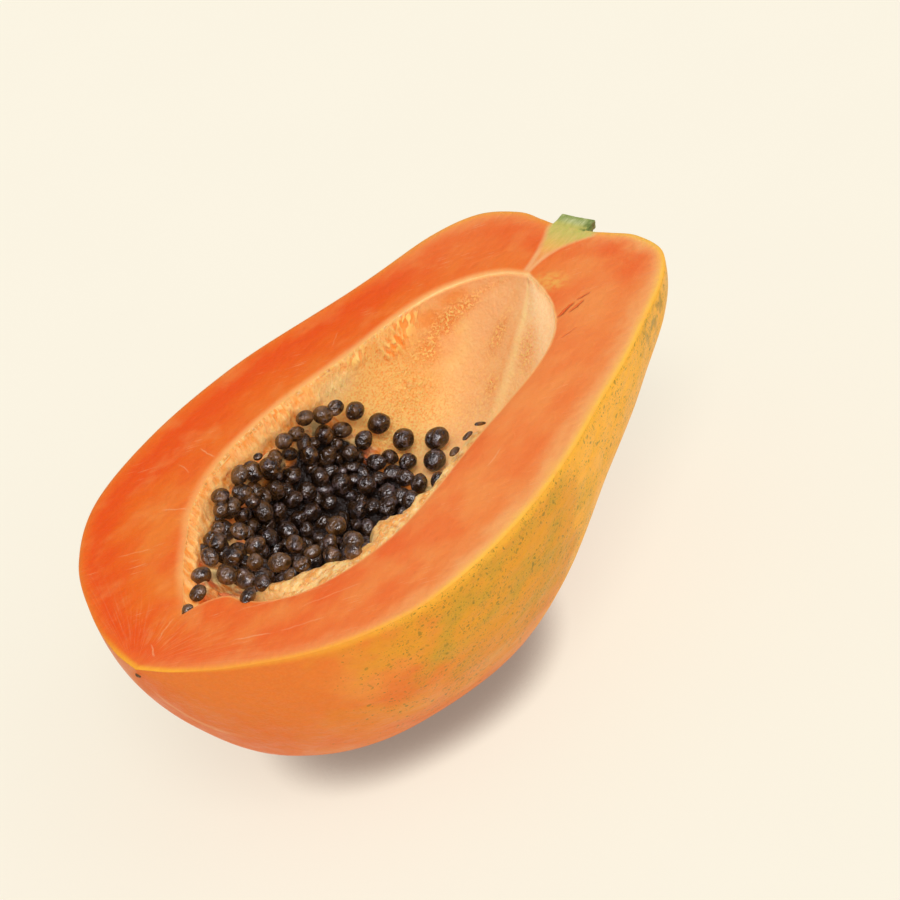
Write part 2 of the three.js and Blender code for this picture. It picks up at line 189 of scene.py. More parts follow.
def lattice_noise(points, size, seed=0):
    """Value noise from -1 to 1: random numbers on a lattice of that cell size, mixed smoothly."""
    place = np.asarray(points, float) / size + NOISE_SHIFT + seed * NOISE_SEED_SHIFT
    cell = np.floor(place)
    t = place - cell
    t = t * t * (3 - 2 * t)
    cell = cell.astype(np.uint64)
    total = 0
    for corner in np.ndindex(*(2,) * place.shape[-1]):
        key = np.zeros(place.shape[:-1], np.uint64)
        weight = 1
        for axis, side in enumerate(corner):
            key = key + (cell[..., axis] + np.uint64(side)) * HASH_FACTORS[axis]
            weight = weight * (t[..., axis] if side else 1 - t[..., axis])
        key = ((key & HASH_MASK) ^ ((key & HASH_MASK) >> HASH_SHIFT)) * HASH_MIX
        key = ((key & HASH_MASK) ^ ((key & HASH_MASK) >> HASH_SHIFT)) & HASH_MASK
        total = total + weight * (key / float(HASH_MASK) * 2 - 1)
    return total


def rough_noise(points, size, seed, octaves):
    """Lattice noise with finer and weaker noise added to it."""
    total = 0
    for octave in range(octaves):
        total = total + lattice_noise(points, size / 2 ** octave, seed + octave) / 2 ** octave
    return total / (2 - 2 ** (1 - octaves))


# Unevenness of the finer pieces: strength, pitch in millimetres, seed and octaves of its noise.
UNEVEN = {
    "dents": (1, 24, 1, 2), "face_waves": (1, 13, 61, 3),
    "shelf": (1.2, 4.2, 77, 3), "shelf_bits": (1, 1.7, 79, 3),
    "clusters": (0.7, 3, 5, 3), "slant": (1.4, 6, 3, 3),
    "granular": (0.8, 4.5, 9, 3), "grains": (1, 1.2, 21, 2),
    "torn": (0.9, 2.0, 31, 3), "torn_broad": (0.8, 4.6, 37, 3),
    "puffs": (0.4, 4.2, 47, 3), "puff_folds": (0.16, 2.8, 49, 3),
    "swells": (0.14, 3.4, 41, 3), "grit": (0.1, 1.2, 43, 2),
    "pulp": (0.7, 5, 51, 3), "pulp_shade": (0.35, 6, 57, 3),
    "bark": (0.02, 1.1, 83, 3), "wood": (1, 0.8, 87, 3),
}


def uneven(name, points):
    strength, pitch, seed, octaves = UNEVEN[name]
    return strength * rough_noise(points, pitch, seed, octaves)


def even_shares(points, count, spare=4000):
    """Shares of a curve's way that divide its length into equal steps."""
    shares = np.linspace(0, 1, spare)
    steps = np.linalg.norm(np.diff(curve(points, shares), axis=0), axis=1)
    way = np.concatenate([[0], np.cumsum(steps)])
    return np.interp(np.linspace(0, way[-1], count + 1), way, shares)


def in_frame(points):
    """Points in millimetres of the fruit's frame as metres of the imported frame."""
    return np.asarray(points, float) * MM + ORIGIN


# ---- The fruit's surfaces ----

def neck_lean(x):
    return NECK_LEAN["shift"] * bell(x, NECK_LEAN["x"], NECK_LEAN["reach"])


def skin_points(along, turn, dent=0):
    """The skin. A half-width w of the rim is turned through an angle from the near rim (0) over
    the keel (half) to the far rim (1): y = -w cos, z = -ratio w sin, both swelled by soft ribs
    and cut level where the half rests. dent shrinks it by that share."""
    along, turn = np.broadcast_arrays(along, turn)
    rim = curve(RIM, along)
    angle = turn * np.pi
    x = rim[..., 0]
    rib_height = mixed(RIB_HEIGHT["belly"], RIB_HEIGHT["shoulder"],
                       smooth(x, RIB_HEIGHT["start"], RIB_HEIGHT["end"]))
    width = rim[..., 1] * (1 + rib_height * np.sin(RIBS * angle) * np.sin(angle)) * (1 - dent)
    ratio = curve(DEPTH_RATIOS, np.clip(x / LENGTH, 0, 1))[..., 1]
    y = neck_lean(x) - width * np.cos(angle)
    z = np.maximum(-ratio * width * np.sin(angle), -REST_DEPTH)
    return np.stack([x, y, z], -1)


def plain_wall(along, turn, lip_width=LIP["width"]):
    """The plain cavity wall. Each section's edges are mixed by u = (1 - cos) / 2 and sunk by
    depth sin^0.8. Beside the seeds the near edge stays shallow over the lip's width."""
    along, turn = np.broadcast_arrays(along, turn)
    section = curve(CAVITY, along)
    angle = turn * np.pi
    across = ((1 - np.cos(angle)) / 2)[..., None]
    edge = mixed(section[..., 0:2], section[..., 2:4], across)
    width = np.linalg.norm(section[..., 2:4] - section[..., 0:2], axis=-1)
    lip = band(edge[..., 0], LIP["start"], LIP["end"], LIP["fade"], LIP["fade"])
    lip_drop = smooth(across[..., 0] * width, 0, lip_width) ** 3
    depth = np.maximum(section[..., 4], 0) * np.abs(np.sin(angle)) ** CAVITY_FULLNESS
    return np.concatenate([edge, (-depth * mixed(1, lip_drop, lip))[..., None]], -1)


def wall_normal(along, turn):
    """Unit direction out of the wall, from the slopes along and round it."""
    def inside(value):
        return np.clip(value, SLOPE_STEP / 2, 1 - SLOPE_STEP / 2)
    lengthwise = (plain_wall(inside(along + SLOPE_STEP), turn)
                  - plain_wall(inside(along - SLOPE_STEP), turn))
    sideways = (plain_wall(along, inside(turn + SLOPE_STEP))
                - plain_wall(along, inside(turn - SLOPE_STEP)))
    normal = np.cross(lengthwise, sideways)
    return normal / np.maximum(np.linalg.norm(normal, axis=-1, keepdims=True), 1e-9)


def wall_relief(point, turn):
    """Fringe, ridge and lumps of the solid's wall, in millimetres above the plain wall."""
    x, z = point[..., 0], point[..., 2]
    wave = 2 * np.pi * x / FRINGE["pitch"] + FRINGE["waver"] * np.sin(x / FRINGE["waver_pitch"])
    fringe = (FRINGE["height"] * (1 + np.sin(wave)) / 2
              * band(x, FRINGE["start"], FRINGE["end"], FRINGE["fade"], FRINGE["fade"])
              * smooth(turn, FRINGE["start_turn"], FRINGE["full_turn"])
              * bell(-z, FRINGE["depth"], FRINGE["reach"]))
    ridge = (KEEL_RIDGE["height"] * bell(turn, KEEL_RIDGE["turn"], KEEL_RIDGE["width"])
             * band(x, KEEL_RIDGE["start"], KEEL_RIDGE["end"],
                    KEEL_RIDGE["fade_in"], KEEL_RIDGE["fade_out"]))
    lumps = (LUMPS["height"] * np.sin(2 * np.pi * x / LUMPS["pitch"] + LUMPS["slant"] * turn)
             * np.sin(LUMPS["round_waves"] * turn + x / LUMPS["drift"])
             * np.minimum(-z / LUMPS["full_depth"], 1))
    return fringe, ridge, lumps


def wall_points(along, turn):
    """The solid's cavity wall: the plain wall raised along its normal by its relief."""
    point = plain_wall(along, turn)
    height = sum(wall_relief(point, turn)) * smooth(-point[..., 2], 0, RELIEF_FADE)
    inside = (turn > 0) & (turn < 1) & (along > 0) & (along < 1)
    return point + wall_normal(along, turn) * (height * inside)[..., None]


# ---- Meshes ----

def grid_quads(rows, columns, start=0, flipped=False):
    """Quads of a grid of (rows + 1) x (columns + 1) points that are numbered row by row."""
    i, j = np.meshgrid(np.arange(rows), np.arange(columns), indexing="ij")
    a = start + i * (columns + 1) + j
    corners = [a, a + 1, a + columns + 2, a + columns + 1]
    if flipped:
        corners.reverse()
    return np.stack(corners, -1).reshape(-1, 4)


def joined(sheets):
    """Points, quads and material slots of several sheets in one. Each is a grid of points, with
    whether its faces are flipped, and its slot."""
    points, quads, slots, start = [], [], [], 0
    for grid, flipped, slot in sheets:
        rows, columns = grid.shape[:2]
        faces = grid_quads(rows - 1, columns - 1, start, flipped)
        points.append(grid.reshape(-1, 3))
        quads.append(faces)
        slots.append(np.full(len(faces), slot))
        start += rows * columns
    return [np.concatenate(part) for part in (points, quads, slots)]


MERGE = 1e-3


def make_piece(name, points, quads, materials, slots=None, values=None):
    """A smooth mesh object from points in millimetres and quads. values are named numbers for
    each point. Points closer than MERGE are joined, which closes seams and poles."""
    mesh = bpy.data.meshes.new(name)
    mesh.from_pydata(in_frame(points), [], quads.tolist())
    for material in materials:
        mesh.materials.append(material)
    if slots is not None:
        mesh.polygons.foreach_set("material_index", np.asarray(slots, np.int32))
    for label, numbers in (values or {}).items():
        attribute = mesh.attributes.new(label, "FLOAT", "POINT")
        attribute.data.foreach_set("value", np.asarray(numbers, np.float32).ravel())
    shell = bmesh.new()
    shell.from_mesh(mesh)
    bmesh.ops.remove_doubles(shell, verts=shell.verts, dist=MERGE * MM)
    bmesh.ops.dissolve_degenerate(shell, dist=MERGE * MM / 10, edges=shell.edges)
    shell.to_mesh(mesh)
    shell.free()
    mesh.polygons.foreach_set("use_smooth", np.ones(len(mesh.polygons), bool))
    mesh.update()
    piece = bpy.data.objects.new(name, mesh)
    bpy.context.scene.collection.objects.link(piece)
    return piece


def finish_piece(piece, nodes, levels=0):
    """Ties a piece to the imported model, and rounds it off by subdivision."""
    if levels:
        rounding = piece.modifiers.new("Rounding", "SUBSURF")
        rounding.levels = levels
        rounding.render_levels = levels
    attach(piece, "root")
    if nodes:
        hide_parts(*nodes)
    return piece


# ---- The fruit ----

FRUIT_STEPS = {"along": 360, "skin_round": 72, "wall_round": 144, "face_across": 22}
OUTLINE_STEPS = 900
DENT_RADIUS = 50
WAVES_FROM_EDGE = 2
# The cut's edges are rounded down by the drop, within these distances, but not by the stem.
EDGE_DROP = 0.3
EDGE_ROUND = {"rim": 0.5, "cavity": 1.3}
STEM_SIDE = {"reach": 5, "start": 166, "end": 172}
# A point's distance from an outline that its surface doesn't reach.
FAR_OFF = 30
# The solid's relief is kept in these shares, because finer relief takes the place of the rest.
SOLID_SHARE = {"fringe": 0.25, "lumps": 0.2}
CREST = {"height": 0.3, "evened": 12}
SHELF = {"slope": 2.1, "least": 7}
TORN_LIP = {"along": (22, 112, 4, 10), "from_turn": 0.06, "to_turn": (0.2, 0.36), "sunk": 0.9}
FAR_PAD = {"along": (19, 104, 5, 9), "turn": (0.74, 0.86), "deep": 3, "height": 2.2, "even": 0.8,
           "folded": (1, 0.5)}
FAR_EDGE = {"along": (20, 131, 6, 12), "deep": (4, 9)}

# Width of the pale shelf of pulp by the near edge, at places along x.
NEAR_BAND = np.array([
    (22, 1.5), (26, 6), (28, 9), (32, 10), (38, 9.5), (44, 8.5), (49, 3.8), (55, 6.5),
    (61, 9.5), (66, 4.8), (72, 4.5), (77, 2), (110, 1.5),
])
# Clusters of tongues on the far wall: x, z, reaches along and down, and strength.
TONGUE_CLUSTERS = (
    (130, -2.6, 3.6, 2.6, 1.0), (124.5, -6.2, 4.6, 2.6, 1.0), (112.5, -2.2, 5.5, 2.2, 0.8),
    (104.5, -5.5, 4, 2.2, 0.5), (88, -2.5, 9, 2.2, 0.35),
)
TONGUES = {"even": 1.25, "slant": 0.3, "pitch": 2.0, "broad": 0.3, "power": 0.8,
           "break": (2.4, 3.2), "broken": (-0.5, 0.35), "sunk": 0.15}
# Granular places of the wall: x, turn, reaches of both, and strength.
GRAINY_PLACES = (
    (140, 0.86, 8, 0.05, 1.0), (129, 0.85, 8, 0.06, 0.95), (120, 0.79, 8, 0.08, 0.9),
    (109, 0.72, 9, 0.1, 0.75), (141.5, 0.6, 5, 0.035, 0.85), (139.5, 0.4, 4, 0.05, 0.8),
    (131.5, 0.54, 2.5, 0.025, 0.9), (124, 0.55, 14, 0.12, 0.4),
)
GRAINS = {"even": 1.15, "cut": (-0.1, 0.75)}


def shelf_wall(along, turn):
    """The plain wall with the pale shelf that the pulp leaves by the near edge, whose width runs
    through the given ones and is ragged."""
    x = curve(CAVITY, along)[..., 0]
    ragged = uneven("shelf", x[..., None]) + uneven("shelf_bits", x[..., None])
    shelf = np.interp(x, *NEAR_BAND.T) + ragged
    return plain_wall(along, turn, np.maximum(1 + SHELF["slope"] * shelf, SHELF["least"]))


def least_distances(points, outline, block=2000):
    """Distance from each point to the nearest point of an outline, in the plane of the cut."""
    found = [
        np.sqrt(((points[i:i + block, None, :2] - outline[None, :, :2]) ** 2).sum(-1).min(1))
        for i in range(0, len(points), block)
    ]
    return np.concatenate(found)


def wall_detail(shape, point, turn):
    """Finer relief of the cavity wall than the solid has, in millimetres, and its granular
    places, its clusters of hanging tongues and its pale edges from 0 to 1."""
    x, z = point[..., 0], point[..., 2]
    flat = np.stack([x, point[..., 1] + 2 * z], -1)
    far_side = smooth(turn, FRINGE["start_turn"], FRINGE["full_turn"])

    # Tongues hang in clusters: a slanted sine of x, broken up by noise.
    clusters = sum(share * bell(x, at, along) * bell(z, deep, down)
                   for at, deep, along, down, share in TONGUE_CLUSTERS) * far_side
    clusters = np.clip(clusters * (TONGUES["even"] + uneven("clusters", flat)), 0, 1)
    slant = x + TONGUES["slant"] * z + uneven("slant", flat)
    wave = np.sin(2 * np.pi * slant / TONGUES["pitch"]) + TONGUES["broad"]
    broken = lattice_noise(np.stack([slant, z], -1) / TONGUES["break"], 1, 6)
    tongues = (np.clip(wave, 0, None) ** TONGUES["power"]
               * smooth(broken, *TONGUES["broken"]) * clusters)

    # Grains stand in granular places.
    granular = 0
    for at, round_at, along, around, share in GRAINY_PLACES:
        granular = np.maximum(granular, share * bell(x, at, along) * bell(turn, round_at, around))
    granular = np.clip(granular * (GRAINS["even"] + uneven("granular", point)), 0, 1)
    grains = smooth(uneven("grains", point), *GRAINS["cut"])

    # The near edge is torn, and the far side puffs up beside the seeds.
    lip = (1 - smooth(turn, *TORN_LIP["to_turn"])) * band(x, *TORN_LIP["along"])
    torn = lip * smooth(turn, 0, TORN_LIP["from_turn"]) * (
        uneven("torn", point) + uneven("torn_broad", point) - TORN_LIP["sunk"])
    pad = band(x, *FAR_PAD["along"]) * smooth(turn, *FAR_PAD["turn"])
    puffs = pad * smooth(-z, 0, FAR_PAD["deep"]) * FAR_PAD["height"] * (
        FAR_PAD["even"] + uneven("puffs", flat) + uneven("puff_folds", flat * FAR_PAD["folded"]))
    edge = np.maximum(
        lip, far_side * band(x, *FAR_EDGE["along"]) * (1 - smooth(-z, *FAR_EDGE["deep"])))

    height = (shape.fringe_height / MM * (tongues - TONGUES["sunk"] * clusters)
              + shape.grain_height / MM * grains * granular
              + torn + puffs + uneven("swells", point) * smooth(-z, 0.5, 3)
              + uneven("grit", point) * edge)
    return height, granular, clusters, edge


def evened(values, times):
    """A grid of values, each evened out with its neighbours along both directions."""
    for _ in range(times):
        for axis in (0, 1):
            padded = np.concatenate([values.take([0], axis), values, values.take([-1], axis)], axis)
            count = values.shape[axis]
            values = (padded.take(range(count), axis) + 2 * values
                      + padded.take(range(2, count + 2), axis)) / 4
    return values


def by_stem(point):
    """1 beside the stem, where the edge of the cut isn't rounded, and 0 elsewhere."""
    return (bell(point[..., 1], STEM_Y, STEM_SIDE["reach"])
            * smooth(point[..., 0], STEM_SIDE["start"], STEM_SIDE["end"]))


def skin_grid(shape):
    """The skin with soft dents, as a grid of points, and the turn of its columns."""
    along = even_shares(RIM, FRUIT_STEPS["along"])[:, None]
    turn = np.linspace(0, 1, FRUIT_STEPS["skin_round"] + 1)[None, :]
    hollows = (1 + uneven("dents", skin_points(along, turn))) / 2
    dent = shape.dent_depth / MM / DENT_RADIUS * np.sin(turn * np.pi) * hollows
    skin = skin_points(along, turn, dent)
    skin[..., 2] = np.minimum(skin[..., 2], -EDGE_DROP * (1 - by_stem(skin)))
    return skin, turn


def wall_grid(shape):
    """The cavity wall raised along its normal by all its relief, as a grid of points, and its
    point values. Rows are evenly apart along the sections' middles and far edges."""
    guide = np.stack([CAVITY[:, [0, 2]].mean(1), CAVITY[:, 2] / 2, CAVITY[:, 3] / 2], 1)
    along = even_shares(guide, FRUIT_STEPS["along"])[:, None]
    turn = np.linspace(0, 1, FRUIT_STEPS["wall_round"] + 1)[None, :]
    wall = shelf_wall(along, turn)
    inner = (turn > 0) & (turn < 1) & (along > 0) & (along < 1)
    fringe, ridge, lumps = wall_relief(wall, turn)
    detail, granular, clusters, edge = wall_detail(shape, wall, turn)
    fade = smooth(-wall[..., 2], 0, RELIEF_FADE)
    coarse = (SOLID_SHARE["fringe"] * fringe + ridge + SOLID_SHARE["lumps"] * lumps) * fade
    height = (coarse + detail * mixed(fade, 1, 0.5 * edge)) * inner
    wall = wall + wall_normal(along, turn) * height[..., None]
    wall[..., 2] = np.minimum(wall[..., 2], EDGE_DROP * edge) - EDGE_DROP
    crest = np.clip((detail - evened(detail, CREST["evened"])) / CREST["height"], -1, 1) * inner
    return wall, {"turn": turn, "granular": granular, "crest": crest, "relief": clusters,
                  "edge": edge}


def face_grid(shape, skin_edge, wall_edge):
    """One side of the cut face, from the skin's edge to the wall's: rounded down at both, with
    soft waves between them. Returns its points and their distances from both outlines."""
    m = FRUIT_STEPS["face_across"]
    share = (0.5 - 0.5 * np.cos(np.linspace(0, np.pi, m + 1)))[None, :, None]
    face = mixed(skin_edge[:, None], wall_edge[:, None], share)
    along, sides = np.linspace(0, 1, OUTLINE_STEPS)[:, None], np.array([[0.0, 1.0]])
    rim_mm, cavity_mm = (
        least_distances(face.reshape(-1, 3), surface(along, sides).reshape(-1, 3))
        .reshape(face.shape[:2]) for surface in (skin_points, plain_wall))
    drop = EDGE_DROP * np.maximum(bell(rim_mm, 0, EDGE_ROUND["rim"]),
                                  bell(cavity_mm, 0, EDGE_ROUND["cavity"])) * (1 - by_stem(face))
    waves = (1 + uneven("face_waves", face * (1, 1, 0))) / 2
    inland = smooth(np.minimum(rim_mm, cavity_mm), 0, WAVES_FROM_EDGE)
    level = -drop - shape.face_wave / MM * waves * inland
    face[:, 1:-1, 2] = level[:, 1:-1]
    return face, rim_mm, cavity_mm


def fruit_mesh(shape):
    """Points, quads, material slots and point values of skin, cut face and cavity wall."""
    skin, skin_turn = skin_grid(shape)
    wall, wall_values = wall_grid(shape)
    near, near_rim, near_hole = face_grid(shape, skin[:, 0], wall[:, 0])
    far, far_rim, far_hole = face_grid(shape, skin[:, -1], wall[:, -1])

    sheets = ((skin, False, 0), (wall, True, 2), (near, True, 1), (far, False, 1))
    given = {
        "rim_mm": (0, FAR_OFF, near_rim, far_rim),
        "cavity_mm": (FAR_OFF, 0, near_hole, far_hole),
        **{label: (0, numbers, 0, 0) for label, numbers in wall_values.items()},
        "turn": (skin_turn, wall_values["turn"], 0, 0),
    }
    values = {
        label: np.concatenate([np.broadcast_to(numbers, sheet[0].shape[:2]).ravel()
                               for numbers, sheet in zip(by_sheet, sheets)])
        for label, by_sheet in given.items()}
    return *joined(sheets), values


# ---- The seeds ----

# Seeds in plain sight at the heap's edges: centre, half breadth, and flatness.
EDGE_SEEDS = (
    # By the near edge.
    (34.4, 2.0, -1.7, 2.6, 0.9), (34.2, -4.6, -1.4, 2.3, 0.9), (34.9, -9.2, -1.1, 2.2, 0.85),
    (29.4, -9.5, -0.4, 2.4, 0.7), (42.4, -8.0, -1.4, 2.7, 0.9), (38.8, -14.2, -0.6, 1.7, 0.5),
    (43.7, -14, -1.2, 2.1, 0.9), (49, -12.4, -2.5, 1.9, 0.9), (48.4, -19.5, -1, 2.2, 0.9),
    (54.7, -20.8, -1, 2.4, 0.8), (51, -23.9, -0.7, 2.2, 0.85), (59.7, -10.3, -4, 2.7, 0.9),
    (54.6, -12.6, -4, 2, 0.9), (51.7, -3.5, -5, 2.3, 0.9), (43.1, 1.9, -5, 2.3, 0.9),
    (48.8, 6.9, -6, 2.6, 0.9), (42.5, 8.5, -5, 2.5, 0.9),
    # At the blossom tip.
    (32.8, 9.5, -3, 2.7, 0.85), (26.8, 4.6, -1.6, 2.1, 0.5), (20.9, 2.8, -0.9, 1.7, 0.45),
    (39.7, 13.1, -4, 2.2, 0.9), (44.7, 14.9, -4, 2.5, 0.8), (48.5, 18.1, -4, 1.8, 0.9),
    (51.4, 14.6, -6, 2.4, 0.9),
    # Along the far wall.
    (54.6, 22.5, -4, 2.3, 0.85), (57.9, 25.4, -3.4, 2.5, 0.7), (63.2, 23.8, -6, 2.6, 0.9),
    (63.1, 20.9, -8, 2.2, 0.9), (65.5, 25.4, -3, 2.7, 0.65), (72.6, 25.1, -2.7, 1.2, 0.7),
    (73.3, 23.1, -6, 2.7, 0.9), (78.3, 26.4, -8, 2.2, 0.9), (81.7, 25.1, -5, 2.4, 0.9),
    (85.9, 25, -6, 2.2, 0.9), (90.4, 25.2, -4.5, 2.3, 0.9), (94.8, 23.5, -6.5, 2.6, 0.9),
    (98.1, 22.2, -6.5, 2.2, 0.9), (98.4, 23, -14, 2.5, 0.9),
    # On the floor towards the stem.
    (98.8, 14.9, -22.6, 2.4, 0.9), (102, 13.2, -23, 2.2, 0.9), (103.4, 9, -24.6, 2.5, 0.9),
    (99, 10.6, -25.1, 2.4, 0.9), (99.4, 7.4, -26.2, 2.4, 0.9), (93.9, 9.2, -26.8, 2.4, 0.9),
    (94.5, 5.1, -27.8, 2.4, 0.9), (88.4, 10, -27.5, 2.5, 0.9),
)
EDGE_SEED_LENGTH = 1.08
EDGE_SEED_TILT = 0.35
EDGE_SEED_ROOM = 0.78
# Other seeds stay above the shelf by this share of their size, and off the bare tip's x and y.
BURIED = 0.1
BARE_TIP = (38, 9)
SHELF_SAMPLES = {"along": (0.1, 0.75, 200), "turn": (0, 0.5, 80)}
# Places where pale pulp shows between the seeds: x, y and reach.
PULP_SHOWS = ((54.5, 19, 3.4), (46.5, 1.5, 2.4), (40.9, -6.7, 2.4), (30.9, 4.1, 2.6))
FILLING = {"radii": (1.9, 2.7), "inset": (0.01, 0.02), "sunk": 1.2, "above_wall": 0.9,
           "below_top": 1, "spacing": 0.66, "bare": (52, 9)}
FILLING_START, VARIETY_START = 7, 11
VARIETY = {"half": (0.94, 1.04), "fold": (0.5, 1.6)}
SQUASHED = {"below": 1, "size": 0.93, "fold": 2.5}
SCAR = {"at": (0.62, 0.8, -3.0), "half": (0.45, 0.95, 0.6), "fold": 0.3}


def turned(quaternions):
    """Rotation matrices of quaternions given as x, y, z, w."""
    x, y, z, w = np.asarray(quaternions, float).T
    rows = [
        (1 - 2 * (y * y + z * z), 2 * (x * y - z * w), 2 * (x * z + y * w)),
        (2 * (x * y + z * w), 1 - 2 * (x * x + z * z), 2 * (y * z - x * w)),
        (2 * (x * z - y * w), 2 * (y * z + x * w), 1 - 2 * (x * x + y * y)),
    ]
    return np.stack([np.stack(row, -1) for row in rows], 1)


def far_edge_turn(along):
    return (BED["far_edge"]
            - BED_STEM_END["far_drop"] * smooth(along, BED_STEM_END["start"], BED["end"]))


def near_edge_turn(along):
    return (BED["near_edge"]
            + BED_TIP["inset"] * (1 - smooth(along, BED_TIP["start"], BED_TIP["end"]))
            + BED_STEM_END["near_drop"] * smooth(along, BED_STEM_END["near_start"], BED["end"]))


def axis_points(along):
    section = curve(CAVITY, along)
    middle = (section[..., 0:2] + section[..., 2:4]) / 2
    return np.concatenate([middle, np.full(middle.shape[:-1] + (1,), BED_AXIS_HEIGHT)], -1)


def above_wall(along, turn, height):
    """Points this far above the wall, towards the cavity's middle line."""
    base = wall_points(along, turn)
    way = axis_points(along) - base
    way = way / np.linalg.norm(way, axis=-1, keepdims=True)
    return base + way * np.asarray(height)[..., None]


def core_height(along, turn):
    """Height of the pulp that the seeds stand out of."""
    base = plain_wall(along, turn)
    near = CORE_REACH["near"] * (1 - smooth(turn, *CORE_NEAR_TURN))
    tip = CORE_REACH["tip"] * (1 - smooth(base[..., 0], *CORE_TIP_X))
    edge = near_edge_turn(along)
    fade = (smooth(turn, edge, edge + CORE_EDGE_FADE["near"])
            * (1 - smooth(turn, CORE_EDGE_FADE["far"], BED["far_edge"])))
    reach = CORE_REACH["floor"] + np.maximum(near, tip) * fade
    span = np.linalg.norm(base - axis_points(along), axis=-1)
    return BED["gap"] + np.minimum(reach * span + CORE_REACH["base"], CORE_REACH["most"])


def loose_centre(along, turn, flat):
    along, turn = np.array(along), np.array(turn)
    return wall_points(along, turn) + wall_normal(along, turn) * (flat + LOOSE_SEED_GAP)


def lying(along, turn):
    """Turn of a seed that lies flat on the wall, its length along the cavity."""
    along, turn = np.array(along), np.array(turn)
    normal = wall_normal(along, turn)
    ahead = plain_wall(along + SLOPE_STEP, turn) - plain_wall(along - SLOPE_STEP, turn)
    ahead = ahead / np.linalg.norm(ahead)
    return np.stack([ahead, np.cross(normal, ahead), normal], -1)


def with_edge_seeds(centres, halves, matrices, draws):
    """Adds the seeds at the heap's edges, and drops the ones that they push aside and the ones
    that the pale shelf by the near edge would bury."""
    edge = np.array(EDGE_SEEDS)
    places, half, flatness = edge[:, :3], edge[:, 3], edge[:, 4]
    sizes = np.stack([EDGE_SEED_LENGTH * half, half, flatness * half], -1)
    tilts = draws.uniform(-EDGE_SEED_TILT, EDGE_SEED_TILT, (2, len(edge)))
    spins = draws.uniform(0, np.pi, len(edge)) / 2
    turns = np.stack([*(tilts * np.cos(spins)), np.sin(spins), np.cos(spins)], -1)
    turns = turned(turns / np.linalg.norm(turns, axis=-1, keepdims=True))
    apart = np.linalg.norm(centres[:, None] - places[None], axis=-1)
    clear = (apart > EDGE_SEED_ROOM * (halves.mean(1)[:, None] + sizes.mean(1)[None])).all(1)
    shelf = shelf_wall(np.linspace(*SHELF_SAMPLES["along"])[:, None],
                       np.linspace(*SHELF_SAMPLES["turn"])[None, :]).reshape(-1, 3)
    nearest = (((centres[:, None, :2] - shelf[None, :, :2]) ** 2).sum(-1)).argmin(1)
    clear &= centres[:, 2] > shelf[nearest, 2] + BURIED * halves.mean(1)
    clear &= (centres[:, 0] > BARE_TIP[0]) | (centres[:, 1] > BARE_TIP[1])
    for x, y, reach in PULP_SHOWS:
        clear &= np.hypot(centres[:, 0] - x, centres[:, 1] - y) > reach
    return (np.concatenate([centres[clear], places]), np.concatenate([halves[clear], sizes]),
            np.concatenate([matrices[clear], turns]))


def even_numbers(count):
    """Even random numbers from 0 to 1 by the solids' linear congruential rule."""
    state = RANDOM_START
    numbers = np.empty(count)
    for i in range(count):
        state = (RANDOM_RULE["times"] * state + RANDOM_RULE["plus"]) % RANDOM_RULE["range"]
        numbers[i] = state / RANDOM_RULE["range"]
    return numbers


def turns_from(u, v, w):
    """Even random turns from three even numbers each, as quaternions x, y, z, w."""
    a, b = np.sqrt(1 - u), np.sqrt(u)
    v, w = 2 * np.pi * v, 2 * np.pi * w
    return np.stack([a * np.sin(v), a * np.cos(v), b * np.sin(w), b * np.cos(w)], -1)


def placed_seeds():
    """Centres, radii and turns of the bed's seeds, by the same darts as the solid's. Each try
    draws four numbers, and a seed that finds room draws three more for its turn."""
    numbers = even_numbers(SEED_TRIES * DRAWS["place"] + DRAWS["spare"])
    along = mixed(BED["start"], BED["end"], numbers[:-3])
    turn = mixed(near_edge_turn(along), far_edge_turn(along), numbers[1:-2])
    radius = mixed(*SEED_RADII, numbers[2:-1])
    stand = mixed(*SEED_STAND, numbers[3:])
    centre = above_wall(along, turn, core_height(along, turn) + stand)
    samples = np.meshgrid(np.linspace(0, 1, WALL_SAMPLES[0] + 1),
                          np.linspace(0, 1, WALL_SAMPLES[1] + 1), indexing="ij")
    walls = wall_points(*samples).reshape(-1, 3)
    loose = np.array([loose_centre(a, t, flat) for a, t, _, _, flat in LOOSE_SEEDS])
    loose_radii = np.array([seed[2] + LOOSE_SEED_ROOM for seed in LOOSE_SEEDS])
    kept, turns, k = [], [], 0
    for i in range(SEED_TRIES):
        spacing = mixed(*SEED_SPACING, i / SEED_TRIES)
        apart = np.linalg.norm(centre[kept] - centre[k], axis=1)
        reach = radius[k] * SEED_SHAPE[0] * SEED_FACET_FILL
        clear = (centre[k, 2] < SEED_TOP
                 and (apart > spacing * (radius[kept] + radius[k])).all()
                 and (np.linalg.norm(loose - centre[k], axis=1) > loose_radii + reach).all()
                 and (((walls - centre[k]) ** 2).sum(1) > (reach + SEED_GAP) ** 2).all())
        if clear:
            kept.append(k)
            k += DRAWS["turn"]
            turns.append(turns_from(*numbers[k + 1:k + 4]))
        k += DRAWS["place"]
    return centre[kept], radius[kept], np.array(turns)


